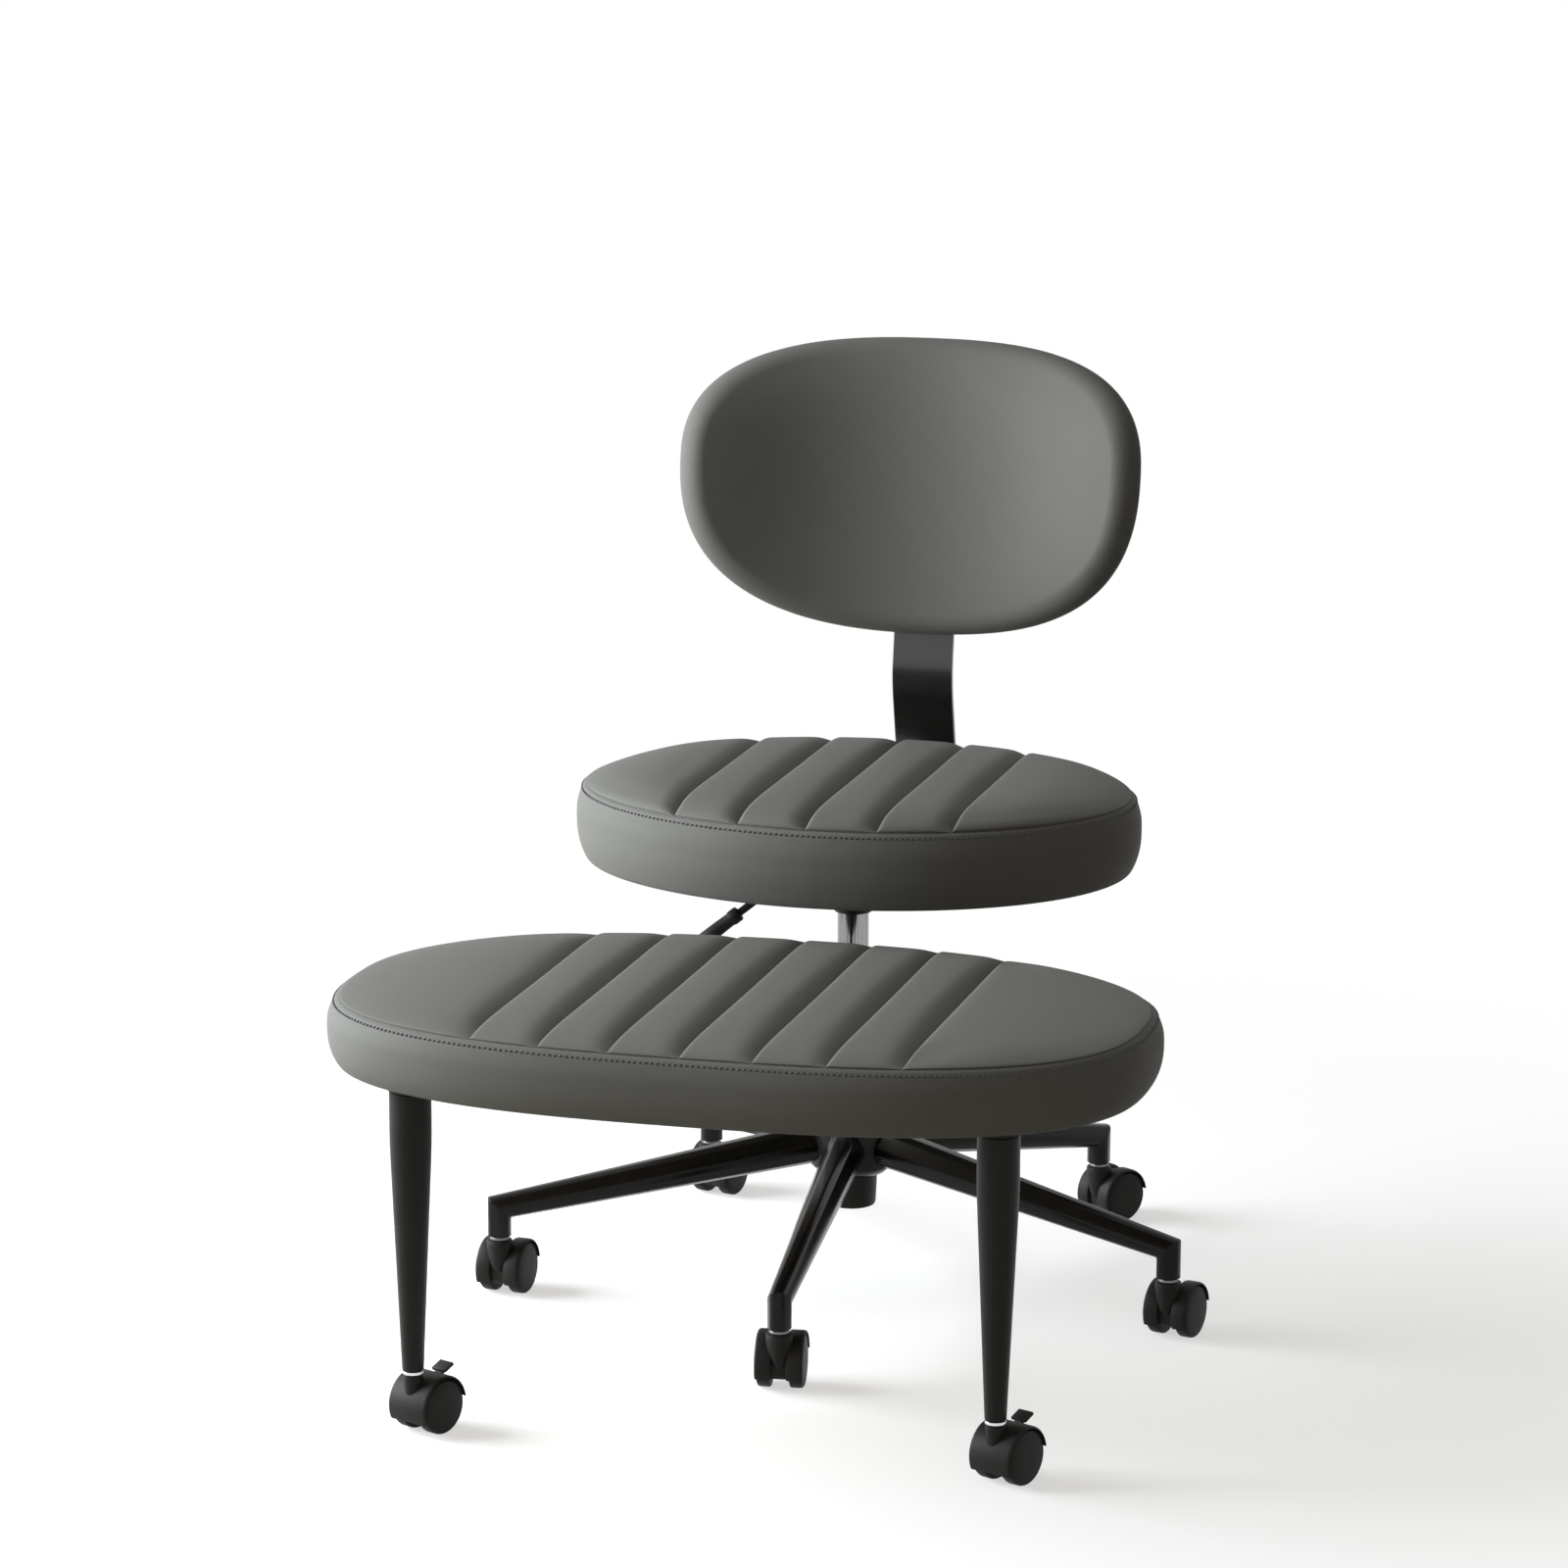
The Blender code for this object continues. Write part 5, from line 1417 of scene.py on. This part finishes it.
pull = joints["lever_pull"]
lever_place = Matrix.Translation(pull["pos_m"]) @ Matrix.Rotation(
    math.atan2(pull["axis"][0], -pull["axis"][1]), 4, "Z"
)
slope = Vector((math.cos(LEVER_SLOPE), 0, -math.sin(LEVER_SLOPE)))
lever_start = Vector((-LEVER_PIVOT - 0.0030, 0, 0))
rim = []
for step in range(LEVER_STEPS):
    angle = 2 * math.pi * step / LEVER_STEPS
    rim.append(lever_start + Vector((0, math.cos(angle), math.sin(angle))) * LEVER_RADIUS)
rod = bent("lever_bar", rim, [lever_start, Vector((0, 0, 0)), slope * LEVER_LENGTH], [LEVER_BEND])
pin = turned(
    "lever_pin",
    [
        (0.0, -PIN_HALF_LENGTH),
        (PIN_RADIUS - 0.0002, -PIN_HALF_LENGTH),
        (PIN_RADIUS, -PIN_HALF_LENGTH + 0.0004),
        (PIN_RADIUS, PIN_HALF_LENGTH - 0.0004),
        (PIN_RADIUS - 0.0002, PIN_HALF_LENGTH),
        (0.0, PIN_HALF_LENGTH),
    ],
    (0, 0, 0),
    axis=(0, 1, 0),
    steps=20,
)
rod = joined([bevelled(rod, 0.0005, 2, 60.0), pin], "lever_bar")
rod.data.transform(lever_place)
fitted(rod, "lever", "black_steel", satin_black, "lever_rod")

grip_profile = [
    (0.0, 0.0),
    (GRIP_COLLAR_RADIUS - 0.0018, 0.0),
    (GRIP_COLLAR_RADIUS - 0.0005, 0.0005),
    (GRIP_COLLAR_RADIUS, 0.0018),
    (GRIP_COLLAR_RADIUS, 0.0080),
    (GRIP_COLLAR_RADIUS - 0.0003, 0.0090),
    (GRIP_RADIUS - 0.0004, 0.0108),
    (GRIP_RADIUS, 0.0240),
    (GRIP_RADIUS, GRIP_LENGTH - 0.0030),
    (GRIP_RADIUS - 0.0006, GRIP_LENGTH - 0.0010),
    (GRIP_RADIUS - 0.0020, GRIP_LENGTH),
    (0.0, GRIP_LENGTH),
]
grip = turned("lever_handle", grip_profile, slope * GRIP_START, axis=slope, steps=32)
grip.data.transform(lever_place)
fitted(grip, "lever", "black_nylon", nylon, "lever_grip")
frame["nodes"]["release_pin"].material_slots[0].material = zinc_plate


# The seat's board and cushion: made as the foot pad's, but rounder, higher and with five grooves.
# The cover is the same grey, with the same seam and top stitching.
SEAT_HALF_WIDTH = 0.2555
SEAT_HALF_DEPTH = 0.1975
SEAT_EXPONENT = 2.00
SEAT_SEAM = 0.0660
SEAT_SEAM_INSET = 0.0080
SEAT_CROWN = 0.0142
SEAT_TIP_POWER = 2.4
SEAT_GROOVES = 5
SEAT_PITCH = 0.0620
SEAT_SAG = 0.0030

frame["nodes"]["seat_board"].material_slots[0].material = plywood
low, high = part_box("seat_cushion")
seat_middle = Vector(((low.x + high.x) / 2, (low.y + high.y) / 2, low.z))
seat_outline = (
    channel_marks(SEAT_GROOVES, SEAT_PITCH),
    SEAT_HALF_WIDTH,
    SEAT_HALF_DEPTH,
    SEAT_HALF_DEPTH,
    SEAT_EXPONENT,
    SEAT_EXPONENT,
)


def seat_place(x, y, height):
    """A point of the seat's cover, whose hem sags a little under the front of the board."""
    sag = SEAT_SAG * max(0.0, -y / SEAT_HALF_DEPTH) * max(0.0, 1 - height / BOARD_THICKNESS)
    return seat_middle + Vector((x, y, height - sag))


seat_pad = made_up(
    "seat_pad_cover",
    seat_outline,
    pad_levels(seat_outline, SEAT_SEAM, SEAT_SEAM_INSET, SEAT_CROWN, SEAT_TIP_POWER),
    seat_place,
    PAD_SWELLING,
)
fitted(seat_pad, "seat", "grey_cover", cover, "seat_cushion")
seat_row = stitched("seat_pad_stitching", seat_outline, SEAT_SEAM, SEAT_SEAM_INSET, seat_place)
fitted(seat_row, "seat", "grey_cover", stitch_shade_look)
bpy.data.objects.remove(stitch)


# The back's bar: flat steel bent twice, from under the seat board up past its knee and behind the back.
# Smooth black, bolted to the board below and to the back's shell above.
BACK_CURVE_RADIUS = 0.3270
BACK_LEAN = math.radians(9.7)
BACK_Y = column.y + 0.2700
BACK_Z = 0.7090
BACK_REAR = 0.0100
BACK_SHELL = 0.0080
BAR_WIDTH = 0.0570
BAR_THICKNESS = 0.0060
BAR_ABOVE = 0.0500
BAR_KNEE = 0.1950
BAR_LEAN = math.radians(15.0)
BAR_BENDS = (0.0350, 0.1100)
BAR_LOW = 0.3897
BAR_FRONT = column.y + 0.0840
JOINT_GAP = 0.0003
BAR_BOLT_ASIDE = 0.016
BAR_BOLT_HEIGHTS = (0.030, -0.045)
BAR_FOOT_BOLTS = (0.018, 0.048)


def back_point(along, up, ahead):
    """A point of the leaning, curved back: along its arc, up its face and ahead of its middle surface."""
    angle = along / BACK_CURVE_RADIUS
    x = (BACK_CURVE_RADIUS - ahead) * math.sin(angle)
    y = (BACK_CURVE_RADIUS - ahead) * math.cos(angle) - BACK_CURVE_RADIUS
    return Vector((
        column.x + x,
        BACK_Y + y * math.cos(BACK_LEAN) + up * math.sin(BACK_LEAN),
        BACK_Z - y * math.sin(BACK_LEAN) + up * math.cos(BACK_LEAN),
    ))


bar_surface = -BACK_REAR - BACK_SHELL - 2 * JOINT_GAP - BAR_THICKNESS / 2
bar_top = back_point(0, BAR_ABOVE, bar_surface)
bar_knee = back_point(0, -BAR_KNEE, bar_surface)
bar_corner = Vector((column.x, bar_knee.y + (bar_knee.z - BAR_LOW) * math.tan(BAR_LEAN), BAR_LOW))
bar_start = Vector((column.x, BAR_FRONT, BAR_LOW))
bar_section = []
for x, z in ((-1, -1), (1, -1), (1, 1), (-1, 1)):
    bar_section.append(bar_start + Vector((x * BAR_WIDTH / 2, 0, z * BAR_THICKNESS / 2)))
bar = bent("back_flat_bar", bar_section, [bar_start, bar_corner, bar_knee, bar_top], BAR_BENDS)
bevelled(bar, 0.0008, 3, 40.0)
bar_black = mottled(
    "smooth_black_bar",
    (46.0, 3.0),
    (0.006, 0.006, 0.006),
    (0.011, 0.0105, 0.010),
    (0.06, 0.17),
    (1400.0, 0.00006, 0.4),
    level=0.9,
)
fitted(bar, "seat", "black_steel", bar_black, "back_bar")
rear = Vector((0, math.cos(BACK_LEAN), -math.sin(BACK_LEAN)))
facing_rear = Matrix((Vector((1, 0, 0)), -rear.cross(Vector((1, 0, 0))), -rear)).transposed().to_4x4()
bar_bolts = []
for x in (-BAR_BOLT_ASIDE, BAR_BOLT_ASIDE):
    for up in BAR_BOLT_HEIGHTS:
        spot = back_point(0, up, bar_surface - BAR_THICKNESS / 2) + Vector((x, 0, 0))
        bar_bolts.append(Matrix.Translation(spot) @ facing_rear)
for along in BAR_FOOT_BOLTS:
    spot = bar_start + Vector((0, along, -BAR_THICKNESS / 2))
    bar_bolts.append(Matrix.Translation(spot))
bolted("back_bar_bolts", "seat", bar_bolts)


# The back's shell: a curved black moulding behind the foam, which the bar is bolted to.
# Its rim is rounded and lies inside the cushion's turned-in cover.
shell = softened("back_board", "back_shell", 0.0022)
fitted(shell, "seat", "black_nylon", nylon, "back_board")


# The back's cushion: foam over the shell in the same grey cover, drawn smooth round an oval with no seam.
# The cover turns in behind and is held under the shell's edge.
BACK_HALF_ARC = 0.2343
BACK_ABOVE = 0.1215
BACK_BELOW = 0.1548
BACK_EXPONENT = 2.40
BACK_FRONT = 0.0290
BACK_RIM = 0.0185
BACK_RIM_FOOT = 0.04
BACK_RIM_TOP = 0.74
BACK_RIM_POWER = 2.0
BACK_CROWN_POWER = 3.0
BACK_SHELL_INSET = 0.0160
BACK_COLUMNS = 17
BACK_COLUMN_REACH = 0.1200
BACK_ROWS = 16
BACK_SWELLING = (3.0, 0.0012, 40)

back_marks = []
for step in range(-BACK_COLUMNS, BACK_COLUMNS + 1):
    back_marks.append((BACK_COLUMN_REACH * step / BACK_COLUMNS, 0.0))
back_outline = (back_marks, BACK_HALF_ARC, BACK_BELOW, BACK_ABOVE, BACK_EXPONENT, BACK_EXPONENT)
back_levels = [
    (BACK_SHELL_INSET, 0.0, -BACK_REAR, 0.0, 0.0, HELD),
    (BACK_SHELL_INSET, 0.5, -BACK_REAR, 0.0, 0.0, HELD),
    (BACK_SHELL_INSET, 1.0, -BACK_REAR, 0.0, 0.0, HELD),
    (BACK_SHELL_INSET - 0.0020, 1.0, -BACK_REAR + 0.0012, 0.0, 0.0, HELD),
    (BACK_SHELL_INSET - 0.0040, 1.0, -BACK_REAR - 0.0002, 0.0, 0.0, HELD),
    (0.0085, 1.0, -BACK_REAR, 0.0, 0.0, HELD),
    (0.0050, 1.0, -0.78 * BACK_REAR, 0.0, 0.0, HELD),
    (0.0022, 1.0, -0.46 * BACK_REAR, 0.0, 0.0, HELD),
    (0.0006, 1.0, -0.10 * BACK_REAR, 0.0, 0.0, FREE),
]
for turn in (5, 13, 21, 29, 37, 45, 53, 61, 69, 77, 84):
    out = math.cos(math.radians(turn)) ** (2 / BACK_RIM_POWER)
    up = math.sin(math.radians(turn)) ** (2 / BACK_RIM_POWER)
    height = BACK_FRONT * (BACK_RIM_FOOT + (BACK_RIM_TOP - BACK_RIM_FOOT) * up)
    back_levels.append((BACK_RIM * (1 - out), 1.0, height, 0.0, 0.0, FREE))
rim_inset, _, rim_height, *_ = back_levels[-1]
for row in range(1, BACK_ROWS + 1):
    share = 1 - row / BACK_ROWS
    height = BACK_FRONT - (BACK_FRONT - rim_height) * share ** BACK_CROWN_POWER
    back_levels.append((rim_inset, share, height, 0.0, 0.0, FREE))
back_pad = made_up("back_pad_cover", back_outline, back_levels, back_point, BACK_SWELLING)
fitted(back_pad, "seat", "grey_cover", cover, "back_cushion")
bpy.data.objects.remove(bolt)
